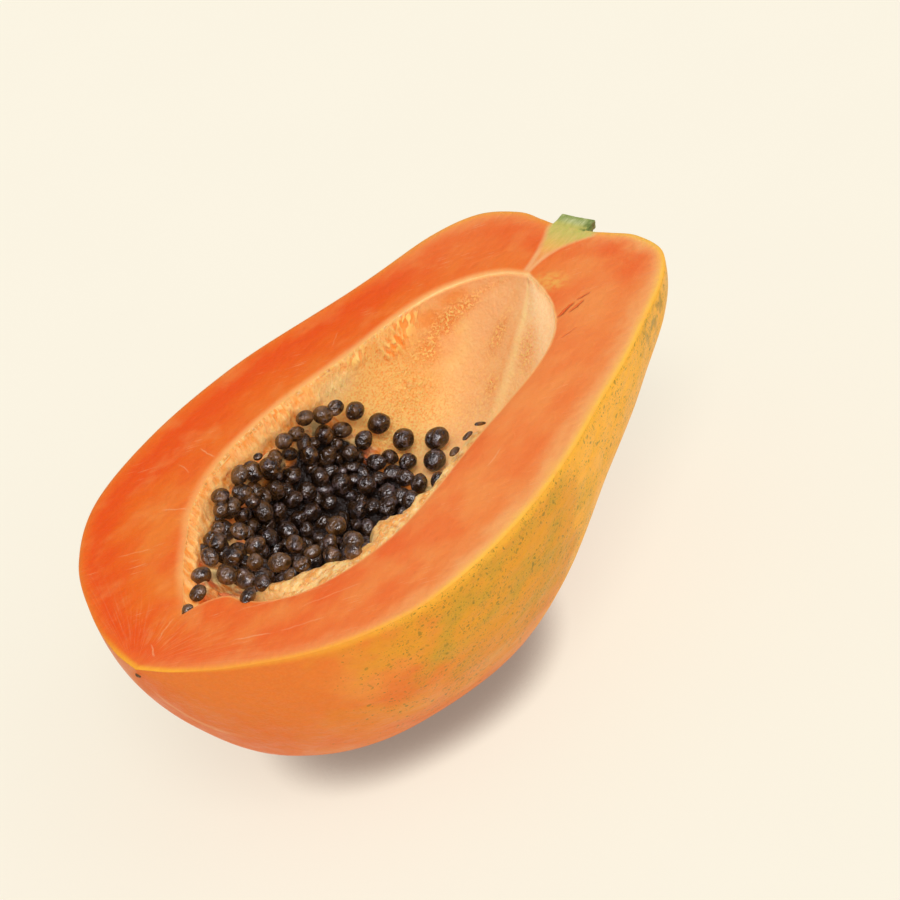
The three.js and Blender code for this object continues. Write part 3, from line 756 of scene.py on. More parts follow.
def filling_seeds(centres, radii, count, seed):
    """Smaller seeds that show in the gaps: darts at the pulp's height, lower than the others."""
    draws = np.random.default_rng(seed)
    inset_along, inset_turn = FILLING["inset"]
    along = draws.uniform(BED["start"] + inset_along, BED["end"] - inset_along, count)
    turn = mixed(near_edge_turn(along) + inset_turn, far_edge_turn(along) - inset_turn,
                 draws.uniform(0, 1, count))
    radius = draws.uniform(*FILLING["radii"], count)
    height = np.maximum(core_height(along, turn) - FILLING["sunk"],
                        radius + FILLING["above_wall"])
    centre = above_wall(along, turn, height)
    free = (centre[:, 0] >= FILLING["bare"][0]) | (centre[:, 1] >= FILLING["bare"][1])
    free &= centre[:, 2] < SEED_TOP - FILLING["below_top"]
    kept_centres, kept_radii = list(centres), list(radii)
    for c, r in zip(centre[free], radius[free]):
        apart = np.linalg.norm(np.array(kept_centres) - c, axis=1)
        if (apart > FILLING["spacing"] * (np.array(kept_radii) + r)).all():
            kept_centres.append(c)
            kept_radii.append(r)
    extra = len(kept_radii) - len(radii)
    return (np.array(kept_centres), np.array(kept_radii),
            turns_from(*draws.uniform(0, 1, (3, extra))))


SEED_STEPS = {"rings": 7, "round": 12}
SEED_LUMPS = {"apart": 7.7, "broad": (0.8, 0.6), "fine": (0.42, 0.4)}
LUMPS_START = {"bed": 3, "loose": 20, "scar": 31}


def seed_points(centres, halves, matrices, folds, seed):
    """Seeds as ellipsoids of latitude and longitude, whose radius swells by broad and fine lumps
    of noise, so that no two are alike. Returns points and quads of them all."""
    rings, around = SEED_STEPS["rings"], SEED_STEPS["round"]
    latitude, longitude = np.meshgrid(np.linspace(0, np.pi, rings + 1),
                                      np.linspace(0, 2 * np.pi, around + 1), indexing="ij")
    unit = np.stack([np.cos(latitude), np.sin(latitude) * np.cos(longitude),
                     np.sin(latitude) * np.sin(longitude)], -1).reshape(-1, 3)
    unit[np.abs(unit) < 1e-9] = 0
    count = len(centres)
    place = unit[None] + np.arange(count)[:, None, None] * SEED_LUMPS["apart"]
    lumps = sum(strength * lattice_noise(place, pitch, seed + i) for i, (pitch, strength)
                in enumerate((SEED_LUMPS["broad"], SEED_LUMPS["fine"])))
    radius = 1 + folds[:, None] * lumps
    local = unit[None] * radius[..., None] * halves[:, None, :]
    points = np.einsum("nij,nkj->nki", matrices, local) + centres[:, None, :]
    quads = grid_quads(rings, around, flipped=True)
    starts = np.arange(count)[:, None, None] * len(unit)
    return points, quads[None] + starts


def add_seeds(name, centres, halves, matrices, folds, tints, material, seed):
    """One object of seeds, each a closed body with its own tint."""
    points, quads = seed_points(centres, halves, matrices, folds, seed)
    return make_piece(name, points.reshape(-1, 3), quads.reshape(-1, 4), [material],
                      values={"tint": np.repeat(tints, points.shape[1])})


PULP_STEPS = {"along": 72, "round": 56}
PULP = {"sink": 1.3, "least": 0.15, "shown": 1.4}
# Where the pulp is dark with painted shade: steps inward from its near, far, tip and stem
# edges, its strength, and how far it stays from the places where pale pulp shows.
PULP_SHADE = {"near": (0.02, 0.2), "far": (0.02, 0.14), "tip": (0.3, 0.44), "stem": 0.57,
             "strength": 1.35, "spared": 1.5}


def pulp_mesh():
    """The pulp under the seeds: a lumpy sheet over the cavity wall, closed below and round its
    edges. Its darkness, painted shade, is 1 in the hollow's middle and 0 at the pale edges."""
    n, m = PULP_STEPS["along"], PULP_STEPS["round"]
    share = np.linspace(0, 1, n + 1)[:, None]
    along = np.broadcast_to(mixed(BED["start"], BED["end"], share), (n + 1, m + 1))
    turn = mixed(near_edge_turn(along), far_edge_turn(along), np.linspace(0, 1, m + 1)[None, :])
    top = above_wall(along, turn, core_height(along, turn))
    height = core_height(along, turn) - PULP["sink"] + uneven("pulp", top)
    height = np.maximum(height, BED["gap"] + PULP["least"])
    shows = sum(bell(np.hypot(top[..., 0] - x, top[..., 1] - y), 0, reach)
                for x, y, reach in PULP_SHOWS)
    top = above_wall(along, turn, height + PULP["shown"] * np.minimum(shows, 1))
    low = above_wall(along, turn, np.full(along.shape, BED["gap"]))
    inward = (smooth(turn - near_edge_turn(along), *PULP_SHADE["near"])
              * smooth(far_edge_turn(along) - turn, *PULP_SHADE["far"])
              * smooth(along, *PULP_SHADE["tip"])
              * (1 - smooth(along, PULP_SHADE["stem"], BED["end"])))
    dark = np.clip(inward * PULP_SHADE["strength"] + uneven("pulp_shade", top)
                   - PULP_SHADE["spared"] * shows, 0, 1)
    sheets, shades = [(top, True, 0), (low, False, 0)], [dark.ravel(), dark.ravel()]
    for side, flipped in ((np.s_[:, 0], True), (np.s_[:, -1], False), (0, False), (-1, True)):
        sheets.append((np.stack([low[side], top[side]], 1), flipped, 0))
        shades.append(np.repeat(dark[side], 2))
    return *joined(sheets), {"dark": np.concatenate(shades)}


# ---- The stem ----

STEM_SINK = {"depth": 1.2, "start": 172.3, "end": 173.4}
STEM_HOLLOW = 0.12
STEM_STEPS = {"along": 36, "round": 72, "cap": 6}


def stem_mesh(groove_depth):
    """The stem stub: a profile carried round half a turn, r(x) grooved lengthwise by a cosine,
    closed by its flat cut and two ends. Returns its slots too: 0 bark, 1 cut wood."""
    n, m = STEM_STEPS["along"], STEM_STEPS["round"]
    at = curve(STEM_PROFILE, np.linspace(0, 1, n + 1))
    angle = np.linspace(0, np.pi, m + 1)[None, :]
    x, radius, angle = np.broadcast_arrays(at[:, :1], at[:, 1:], angle)
    rough = uneven("bark", np.stack([x * 0.5, angle * 5, 0 * x], -1))
    groove = 1 + groove_depth * np.cos(2 * STEM_GROOVE["count"] * angle) + rough
    groove = np.minimum(groove, 1 + STEM_GROOVE["depth"])
    sink = STEM_SINK["depth"] * (1 - smooth(x, STEM_SINK["start"], STEM_SINK["end"]))
    y = STEM_Y - radius * np.cos(angle) * mixed(1, groove, np.sin(angle))
    side = np.stack([x, y, -STEM_DEPTH_RATIO * radius * np.sin(angle) * groove - sink], -1)
    y = mixed(y[:, :1], y[:, -1:], (1 - np.cos(angle)) / 2)
    rough = uneven("wood", np.stack([x * 0.4, y], -1))
    hollow = STEM_HOLLOW * (1 - np.cos(angle) ** 2) * (1 + rough)
    flat = np.stack([x, y, -hollow - sink], -1)
    share = np.linspace(0, 1, STEM_STEPS["cap"] + 1)[:, None, None]
    inner_end, outer_end = (mixed(flat[row], side[row], share) for row in (0, -1))
    return joined([(side, False, 0), (flat, True, 1), (inner_end, False, 1),
                   (outer_end, True, 1)])


# ---- Nodes ----

def linear(digits):
    """A colour's linear red, green and blue from its sRGB hex digits."""
    shares = [int(digits[i:i + 2], 16) / 255 for i in (0, 2, 4)]
    return tuple(s / 12.92 if s <= 0.04045 else ((s + 0.055) / 1.055) ** 2.4 for s in shares)


class Nodes:
    """Adds nodes to a tree. An input takes another node's socket or a plain value."""

    def __init__(self, tree):
        self.tree = tree
        tree.nodes.clear()

    def add(self, kind, inputs=None, **settings):
        node = self.tree.nodes.new(kind)
        for name, value in settings.items():
            setattr(node, name, value)
        for name, value in (inputs or {}).items():
            self.feed(node.inputs[name], value)
        return node

    def feed(self, socket, value):
        if isinstance(value, bpy.types.NodeSocket):
            self.tree.links.new(value, socket)
        elif socket.type == "RGBA":
            socket.default_value = (*value[:3], 1)
        else:
            socket.default_value = value

    def math(self, operation, first, *others):
        """One value from several, worked out two at a time."""
        for other in others:
            node = self.add("ShaderNodeMath", {0: first, 1: other}, operation=operation)
            first = node.outputs[0]
        return first

    def times(self, *values):
        return self.math("MULTIPLY", *values)

    def most(self, *values):
        return self.math("MAXIMUM", *values)

    def away(self, value, middle):
        """How far a value is from a middle one, on either side."""
        node = self.add("ShaderNodeMath", {0: self.math("SUBTRACT", value, middle)},
                        operation="ABSOLUTE")
        return node.outputs[0]

    def vector(self, operation, *vectors):
        """A sum of vectors. A length or a dot product is a plain value."""
        node = self.add("ShaderNodeVectorMath", dict(enumerate(vectors)), operation=operation)
        return node.outputs["Value" if operation in ("LENGTH", "DOT_PRODUCT") else "Vector"]

    def step(self, value, start, end, low=0.0, high=1.0):
        """A soft step of a value from low to high between start and end."""
        node = self.add("ShaderNodeMapRange", {"Value": value, "From Min": start, "From Max": end,
                                               "To Min": low, "To Max": high},
                        interpolation_type="SMOOTHSTEP")
        return node.outputs["Result"]

    def blend(self, share, a, b):
        node = self.add("ShaderNodeMix", data_type="RGBA")
        for index, value in ((0, share), (6, a), (7, b)):
            self.feed(node.inputs[index], value)
        return node.outputs[2]


def patches(nodes, scaled, given):
    """Soft patches: noise cut by a soft step."""
    noise = nodes.add("ShaderNodeTexNoise", {"Vector": scaled, "Scale": 1.0,
                                             "Detail": given["Detail"]})
    return nodes.step(noise.outputs["Fac"], given["From"], given["To"])


def wrinkles(nodes, scaled, given):
    """Bent ridges between cells, with fine grain."""
    bend = nodes.add("ShaderNodeTexNoise", {"Vector": scaled, "Scale": 1.3, "Detail": 2.0})
    bent = nodes.vector("ADD", bend.outputs["Color"], scaled)
    cells = nodes.add("ShaderNodeTexVoronoi", {"Vector": bent, "Scale": 1.0}, feature="SMOOTH_F1")
    fine = nodes.add("ShaderNodeTexNoise", {"Vector": scaled, "Scale": 3.1, "Detail": 3.0})
    return nodes.math("ADD", cells.outputs["Distance"],
                      nodes.times(fine.outputs["Fac"], given["Fine"]))


def flecks(nodes, scaled, given):
    """One round dot in each cell, with a radius of its own, shown in a share of the cells."""
    cells = nodes.add("ShaderNodeTexVoronoi", {"Vector": scaled, "Scale": 1.0})
    own = nodes.add("ShaderNodeSeparateColor", {"Color": cells.outputs["Color"]}).outputs
    radius = nodes.step(own[1], 0.0, 1.0, 0.14, 0.4)
    dot = nodes.step(cells.outputs["Distance"], radius, nodes.times(radius, 0.55))
    shown = nodes.step(nodes.math("SUBTRACT", given["Share"], own[0]), 0.0, 0.12)
    return nodes.times(dot, shown, nodes.step(own[2], 0.0, 1.0, 0.35, 1.0))


# Patterns: what they put out, their inputs besides place and size, and what makes them.
PATTERNS = {
    "Patches": ("Mask", {"Detail": 2.0, "From": 0.35, "To": 0.65}, patches),
    "Wrinkles": ("Height", {"Fine": 0.5}, wrinkles),
    "Flecks": ("Mask", {"Share": 0.5}, flecks),
}


def pattern_group(name):
    """The shader node group of a pattern, made once. Its Size is in millimetres per axis."""
    if name in bpy.data.node_groups:
        return bpy.data.node_groups[name]
    output, given, fill = PATTERNS[name]
    tree = bpy.data.node_groups.new(name, "ShaderNodeTree")
    nodes = Nodes(tree)
    for label, default in {"Vector": (0, 0, 0), "Size": (1, 1, 1), **given}.items():
        kind = "NodeSocketVector" if isinstance(default, tuple) else "NodeSocketFloat"
        socket = tree.interface.new_socket(label, in_out="INPUT", socket_type=kind)
        socket.default_value = default
    tree.interface.new_socket(output, in_out="OUTPUT", socket_type="NodeSocketFloat")
    inputs = nodes.add("NodeGroupInput").outputs
    result = fill(nodes, nodes.vector("DIVIDE", inputs["Vector"], inputs["Size"]), inputs)
    tree.links.new(result, nodes.add("NodeGroupOutput").inputs[0])
    return tree


class Coat(Nodes):
    """The nodes of one material. Its colours are laid over one another, each where all of its
    masks show, and its relief is embossed in the same way. Places and sizes are in millimetres
    of the fruit's own frame, which the Object coordinates give."""

    def __init__(self, name, colour=None):
        self.material = bpy.data.materials.new(name)
        self.material.use_nodes = True
        super().__init__(self.material.node_tree)
        here = self.add("ShaderNodeTexCoord").outputs["Object"]
        self.here = self.vector("MULTIPLY_ADD", here, (1 / MM,) * 3, tuple(-ORIGIN / MM))
        self.colour, self.normal = colour, None

    def axes(self):
        return self.add("ShaderNodeSeparateXYZ", {"Vector": self.here}).outputs

    def attributes(self, *names):
        return [self.add("ShaderNodeAttribute", attribute_name=name).outputs["Fac"]
                for name in names]

    def pattern(self, name, size, where=None, **values):
        """A pattern of this size, along the surface's own place or another one."""
        inputs = {"Vector": self.here if where is None else where,
                  "Size": size if isinstance(size, tuple) else (size,) * 3, **values}
        return self.add("ShaderNodeGroup", inputs, node_tree=pattern_group(name)).outputs[0]

    def patches(self, size, start=0.35, end=0.65, detail=2.0, where=None):
        return self.pattern("Patches", size, where, Detail=detail, From=start, To=end)

    def spot(self, centre, reach):
        """A soft mask round a place: 1 about its centre and 0 at its reach along each axis."""
        scaled = self.vector("DIVIDE", self.vector("SUBTRACT", self.here, centre), reach)
        return self.step(self.vector("LENGTH", scaled), 1.0, 0.2)

    def slanted(self, turn):
        return self.add("ShaderNodeMapping", {"Vector": self.here, "Rotation": turn}).outputs[0]

    def bent(self, scale, detail, reach):
        """The place, pushed about by soft noise."""
        noise = self.add("ShaderNodeTexNoise", {"Vector": self.here, "Scale": scale,
                                                "Detail": detail})
        return self.vector("MULTIPLY_ADD", noise.outputs["Color"], (reach,) * 3, self.here)

    def ramp(self, value, tones, reach):
        """Tones that follow each other at their distances while the value goes from 0 to 1."""
        node = self.add("ShaderNodeValToRGB", {"Fac": value})
        colours = node.color_ramp.elements
        while len(colours) < len(tones):
            colours.new(0.5)
        for element, (place, digits) in zip(colours, tones):
            element.position = place / reach
            element.color = (*linear(digits), 1)
        return node.outputs["Color"]

    def lay(self, colour, *masks):
        self.colour = self.blend(self.times(*masks), self.colour, colour)

    def emboss(self, depth, *masks):
        inputs = {"Height": self.times(*masks), "Distance": depth * MM, "Strength": 1.0}
        if self.normal is not None:
            inputs["Normal"] = self.normal
        self.normal = self.add("ShaderNodeBump", inputs).outputs["Normal"]

    def finish(self, roughness, **inputs):
        """Joins the Principled shader to the output, and returns the material."""
        inputs = {name.replace("_", " "): value for name, value in inputs.items()}
        if self.normal is not None:
            inputs["Normal"] = self.normal
        shader = self.add("ShaderNodeBsdfPrincipled",
                          {"Base Color": self.colour, "Roughness": roughness, **inputs})
        self.add("ShaderNodeOutputMaterial", {"Surface": shader.outputs[0]})
        return self.material


# ---- Materials ----

# Strength of the lining's painted glow, which brightens its shaded places.
LINING_PAINTED_GLOW = 0.3
# Strength of the pulp's painted glow.
PULP_PAINTED_GLOW = 0.1

# Tones of the cut flesh at their distances from the skin, up to the reach.
FACE_REACH = 26
NEAR_FLESH = (
    (0, "F7B23C"), (0.6, "FABD4C"), (1.3, "F8B45C"), (2.6, "F5A45E"), (4.2, "F29854"),
    (6.2, "F08A46"), (9, "F0843F"), (14, "F28E47"), (20, "F18B45"), (26, "EF7E3C"),
)
FAR_FLESH = (
    (0, "F08A32"), (0.7, "EE7624"), (2, "ED6618"), (4, "EC5A12"), (6, "EB520C"),
    (10, "EB580E"), (14, "EC6412"), (19, "ED6F1C"), (25, "EE7C2A"),
)
# Pale scratches and darker creases of the cut face: both ends, width and strength.
SCRATCHES = (
    (68.1, 39.7, 66.1, 32.8, 0.25, 0.4), (61, 41, 59.5, 35, 0.22, 0.3),
    (45.6, 33.1, 48.8, 26, 0.28, 0.4), (15.9, -15.7, 21.9, -24.3, 0.3, 0.4),
    (21.9, -24.3, 31, -33, 0.3, 0.25), (17.6, 3.1, 8.5, 1.2, 0.28, 0.3),
    (23, -9, 40, -27, 0.25, 0.25), (30, -24, 44, -34, 0.25, 0.25), (86, -37, 94, -36, 0.25, 0.3),
    (112, 32, 118, 35, 0.22, 0.2), (28, 32, 34, 25, 0.25, 0.3), (8, 2.4, 4.5, -2.2, 0.3, 0.4),
)
CREASES = (
    (139.9, -18.9, 147.7, -19.3, 0.7, 1.0), (147.7, -19.3, 152.5, -21.2, 0.5, 0.7),
    (142.5, -20.6, 149.1, -21.4, 0.5, 0.8), (133, -24.6, 139, -26.6, 0.4, 0.4),
)
STROKE_BEND = {"scale": 0.35, "detail": 2.0, "reach": 1.2}
# The stem's root in the cut face: its ends, middle line, and half width on both sides.
ROOT = {"start": 154.5, "end": 172, "y": 0.8, "least": 0.45, "far": (1.5, 5.4), "near": (2.5, 7.8)}
# Flecks of the skin: size and strength.
FLECKS = (((1.8, 1.4, 1.4), 0.65), ((1.05, 0.9, 0.9), 0.7), ((0.7, 0.6, 0.6), 0.65),
          ((0.5, 0.42, 0.42), 0.5))


def stroke(coat, bent, ends, width):
    """A soft mask round the slightly bent line between two places on the cut face."""
    start, end = np.array(ends[:2]), np.array(ends[2:])
    length = float(np.linalg.norm(end - start))
    along = (end - start) / length
    middle = (start + end) / 2 + STROKE_BEND["reach"] / 2
    offset = coat.vector("SUBTRACT", bent, (*middle, 0))
    lengthwise, across = (
        coat.away(coat.vector("DOT_PRODUCT", offset, (*axis, 0)), 0.0)
        for axis in (along, (-along[1], along[0])))
    return coat.times(coat.step(lengthwise, length / 2, length / 4),
                      coat.step(across, width, width * 0.2))


def lay_root(coat, paint, x, y):
    """The stem's root: a wedge that widens by a power of the way to the stem, from flesh over
    yellow to green, inside a cream outline."""
    step, times = coat.step, coat.times
    run = coat.add("ShaderNodeMapRange", {"Value": x, "From Min": ROOT["start"],
                                          "From Max": ROOT["end"]}).outputs[0]
    far, near = (times(coat.math("POWER", run, power), most)
                 for power, most in (ROOT["far"], ROOT["near"]))
    width = coat.math("ADD", coat.blend(step(y, 1.6, 0.0), far, near), ROOT["least"])
    inside = coat.math("SUBTRACT", width, coat.away(y, ROOT["y"]))
    started = step(x, ROOT["start"] - 1.5, ROOT["start"] + 1)
    tone = coat.blend(step(x, 159, 167), paint.flesh_light, paint.root_yellow)
    tone = coat.blend(step(x, 162, 173), tone, paint.root_green)
    fibre = coat.patches((4.0, 0.5, 1.0), 0.35, 0.7)
    tone = coat.blend(times(fibre, 0.25), tone, paint.line_cream)
    coat.lay(tone, step(inside, -1.0, 1.2), started, step(x, 156, 164, 0.5, 1.0))
    coat.lay(paint.line_cream, step(coat.away(inside, 0.0), 1.3, 0.1), started,
             step(x, 168, 160, 0.25, 0.55))


def flesh_material(paint):
    """The cut flesh: colours by distance from the skin, paler on the near side, with soft
    patches, fibres, fine scratches, the stem's green root and the pale line round the cavity."""
    coat = Coat("Papaya_Flesh")
    step, times, patches, spot, lay = coat.step, coat.times, coat.patches, coat.spot, coat.lay
    x, y, _ = coat.axes()
    rim, hole = coat.attributes("rim_mm", "cavity_mm")
    wavy = coat.math("ADD", rim, step(patches((9, 5, 5), 0.2, 0.8), 0, 1, -1.6, 1.6))
    sunk = coat.math("DIVIDE", coat.blend(step(rim, 1, 5), rim, wavy), FACE_REACH)
    sunk = times(sunk, step(x, 75, 25, 1.0, 1.5))
    coat.colour = coat.ramp(sunk, FAR_FLESH, FACE_REACH)
    lay(coat.ramp(sunk, NEAR_FLESH, FACE_REACH),
        coat.most(times(step(y, 14, -22), step(x, 6, 62, 0.45, 1.0)),
                  times(step(x, 128, 168), step(y, -20, 30, 0.0, 0.55))))
    # Soft patches, fibres, scratches and creases.
    lay(paint.flesh_deep, patches((17, 11, 11), 0.38, 0.66), step(rim, 4, 10),
        step(x, 120, 30, 0.25, 0.5))
    lay(paint.flesh_light, patches((13, 8, 8), 0.52, 0.72, 3.0), 0.28)
    lay(paint.flesh_light, patches((7.0, 0.5, 2.0), 0.5, 0.72, 3.0), 0.05)
    lay(paint.flesh_pale, patches((6.0, 0.28, 2.0), 0.64, 0.72, where=coat.slanted((0, 0, 0.75))),
        patches(15.0, 0.5, 0.62), 0.5)
    bent = coat.bent(**STROKE_BEND)
    for *ends, width, strength in SCRATCHES:
        lay(paint.flesh_pale, stroke(coat, bent, ends, width), strength)
    creases = coat.most(*(times(stroke(coat, bent, ends, width), strength)
                          for *ends, width, strength in CREASES))
    lay(paint.flesh_deep, creases, 0.7)
    # Redder and yellower places by the stem.
    red = coat.most(spot((164.5, -25, 0), (10, 9, 9)), spot((169.5, -16, 0), (6, 9, 9)))
    lay(paint.flesh_deep, red, patches(6.0, 0.1, 0.55), 0.5)
    lay(paint.root_yellow, spot((152.6, -8, 0), (5.5, 7, 9)), patches(1.8, 0.3, 0.62, 3.0), 0.75)
    # Rays that fan out from the golden blossom tip.
    fan = coat.math("DIVIDE", y, coat.most(x, 1.0))
    spokes = coat.add("ShaderNodeCombineXYZ", {"X": times(fan, 22.0), "Y": times(x, 0.16)})
    for tone, size, end, strength in ((paint.flesh_pale, 1.0, 0.64, 0.13),
                                      (paint.flesh_deep, 1.7, 0.36, 0.25)):
        lay(tone, patches(size, 0.5, end, where=spokes.outputs[0]), step(x, 2, 5),
            step(x, 24, 10), step(rim, 0.8, 2.5), strength)
    lay(paint.skin_gold, step(x, 7, 1), step(rim, 1.8, 0.3), 0.7)
    lay_root(coat, paint, x, y)
    # Pale flesh and a cream line round the cavity.
    lay(paint.lining_edge, step(coat.math("DIVIDE", hole, step(y, -6, 8, 0.7, 2.6)), 1.0, 0.0),
        step(x, 16, 30), step(x, 50, 80, 0.55, 0.8))
    lay(paint.line_cream, step(hole, 0.8, 0.2), step(x, 124, 140, 0.0, 0.6),
        patches(5.0, 0.3, 0.6))

    soft = patches((2.6, 1.9, 2.2), 0.2, 0.8, 3.0)
    coat.emboss(0.15, soft)
    coat.emboss(0.035, patches(0.35, 0.2, 0.8))
    coat.emboss(0.5, creases, -1.0)
    return coat.finish(step(soft, 0, 1, 0.36, 0.52), Specular_IOR_Level=0.14,
                       Subsurface_Weight=0.12, Subsurface_Radius=(1.0, 0.35, 0.12),
                       Subsurface_Scale=0.003)


def lining_material(paint):
    """The cavity's lining: peach, yellower towards the seeds, orange and puffed by them, with
    bright tongues over painted orange shade, granular places and a ridge line by the keel. The
    orange by the seeds is partly painted shade. Its hollows get painted shade, its crests painted
    light, and it has a painted glow."""
    coat = Coat("Papaya_Lining", paint.lining)
    step, times, patches, lay, emboss = coat.step, coat.times, coat.patches, coat.lay, coat.emboss
    x, _, z = coat.axes()
    turn, clusters, grainy, edge, crest = coat.attributes(
        "turn", "relief", "granular", "edge", "crest")
    # The floor, the pink and cream stem end, its shaded places and the side by the seeds.
    lay(paint.lining_warm, patches((12, 9, 9)))
    lay(paint.lining_cream, step(x, 90, 106), step(x, 144, 126),
        step(coat.away(turn, 0.58), 0.2, 0.05), 0.5)
    lay(paint.lining_pink, step(x, 112, 148), patches((18, 10, 10), 0.2, 0.5), 0.95)
    lay(paint.lining_cream, step(x, 118, 148), step(turn, 0.62, 0.28), 0.9)
    lay(paint.lining_orange, coat.most(coat.spot((143, 17, -3.4), (9, 5, 3)),
                                       coat.spot((136, 21, -6), (7, 4, 4))), 0.6)
    # Orange by the seeds: partly the lining's own colour and partly painted shade on the far wall.
    lay(paint.lining_puff, step(x, 112, 96), step(turn, 0.5, 0.7))
    # Fine grain, and the granular places.
    fine = patches(0.75, 0.36, 0.64, 3.0)
    lay(paint.lining_orange, fine, 0.14)
    lay(paint.lining_orange, grainy, step(turn, 0.62, 0.8, 0.3, 0.65),
        step(x, 106, 128, 0.25, 1.0))
    lay(paint.lining_deep, patches(0.5, 0.46, 0.64), grainy, 0.55)
    grains = patches((0.8, 0.6, 0.65), 0.48, 0.62)
    lay(paint.lining_tongue, grains, grainy, 0.8)
    # The golden zone of the far wall, with orange gaps.
    golden = times(step(x, 90, 104), step(x, 136, 120), step(turn, 0.55, 0.7))
    gaps = patches((0.55, 0.42, 0.42), 0.46, 0.64, 3.0)
    lay(paint.lining_tongue, golden, 0.55)
    lay(paint.lining_orange, golden, gaps, 0.6)
    # Hollows, crests, tongues and puffs, with painted shade and painted light.
    puffs = times(step(x, 108, 96), step(turn, 0.76, 0.86))
    calm = step(puffs, 0, 1, 1.0, 0.4)
    # Painted shade: orange in the relief's hollows. Painted light: paler on its crests.
    lay(paint.lining_orange, step(crest, 0.0, -0.8), calm, 0.55)
    lay(paint.lining_light, step(crest, 0.1, 0.9, 0.0, 0.5), calm)
    tongues = times(patches((1.0, 3.4, 3.0), 0.46, 0.6, 1.0, coat.slanted((0, -0.3, 0))), clusters)
    lobes = patches((1.7, 4.2, 3.6), 0.36, 0.66, 4.0)
    drift = times(coat.spot((104, 26, -6), (10, 9, 6)), 0.7)
    # Painted shade: orange under and between the tongues.
    lay(paint.lining_orange, clusters, 0.75)
    lay(paint.lining_tongue, tongues, 0.95)
    # The puffs are paler on their raised lobes, partly their own colour and partly painted light.
    lay(paint.lining_light, puffs, lobes, 0.4)
    lay(paint.lining_light, drift)
    # The pale ridge line, partly painted light on the ridge, the painted shade beside it, red
    # stains and the pale edges.
    lay(paint.lining_light, step(coat.away(turn, 0.47), 0.036, 0.004), step(x, 112, 130), 0.5)
    lay(paint.lining_orange, step(coat.away(turn, 0.515), 0.02, 0.003), step(x, 124, 134),
        step(x, 149, 143), patches(6.0, 0.3, 0.6), 0.25)
    lay(paint.stain, step(x, 104, 90), patches(4.5, 0.56, 0.68), step(z, -6, -12, 0.0, 0.75))
    lay(paint.lining_light, edge, patches(3.0), step(turn, 0.3, 0.5, 0.6, 0.15))
    # The torn shelf by the near edge, and the brink at the stem end.
    shelf = times(step(z, -2.6, -0.6), step(x, 18, 26), step(turn, 0.5, 0.4))
    torn = patches((3.2, 1.7, 2.0), 0.44, 0.62, 4.0)
    brink = times(step(z, -1.6, -0.4), step(x, 118, 140))
    lay(paint.lining_edge, shelf, 0.4)
    lay(paint.lining_puff, shelf, torn, step(x, 124, 96), 0.7)
    lay(paint.lining_cream, shelf, patches((1.1, 0.8, 0.8), 0.55, 0.64), 0.6)
    lay(paint.line_cream, brink, 0.7)

    emboss(0.16, patches(2.0, 0.2, 0.8, 4.0))
    emboss(0.09, patches(0.7, 0.2, 0.8))
    emboss(0.2, puffs, lobes)
    emboss(0.08, golden, gaps, -1.0)
    emboss(0.5, shelf, torn)
    emboss(0.5, coat.most(tongues, times(grains, grainy, 0.5)))
    # Painted glow: the lining glows in its own colour, a little everywhere and most in its shaded
    # places:
    # the far wall by the tip, the tongues, the stem end, the brink, the drift, the golden zone, the
    # grains and the far edge.
    painted_glow = coat.most(
        times(step(x, 82, 40), step(turn, 0.55, 0.75), 0.65), times(clusters, 0.8),
        times(step(x, 118, 148), step(turn, 0.5, 0.2), 0.75), times(brink, 0.8),
        times(drift, 0.5), times(golden, 0.25), times(grainy, grains, 0.5),
        times(edge, step(turn, 0.6, 0.75), 0.3))
    painted_glow = coat.blend(step(painted_glow, 0, 1, 0.2, 1.0), (0, 0, 0), coat.colour)
    return coat.finish(step(fine, 0, 1, 0.42, 0.6), Specular_IOR_Level=0.16,
                       Subsurface_Weight=0.4, Subsurface_Radius=(1.0, 0.5, 0.22),
                       Subsurface_Scale=0.004, Emission_Color=painted_glow,
                       Emission_Strength=LINING_PAINTED_GLOW)


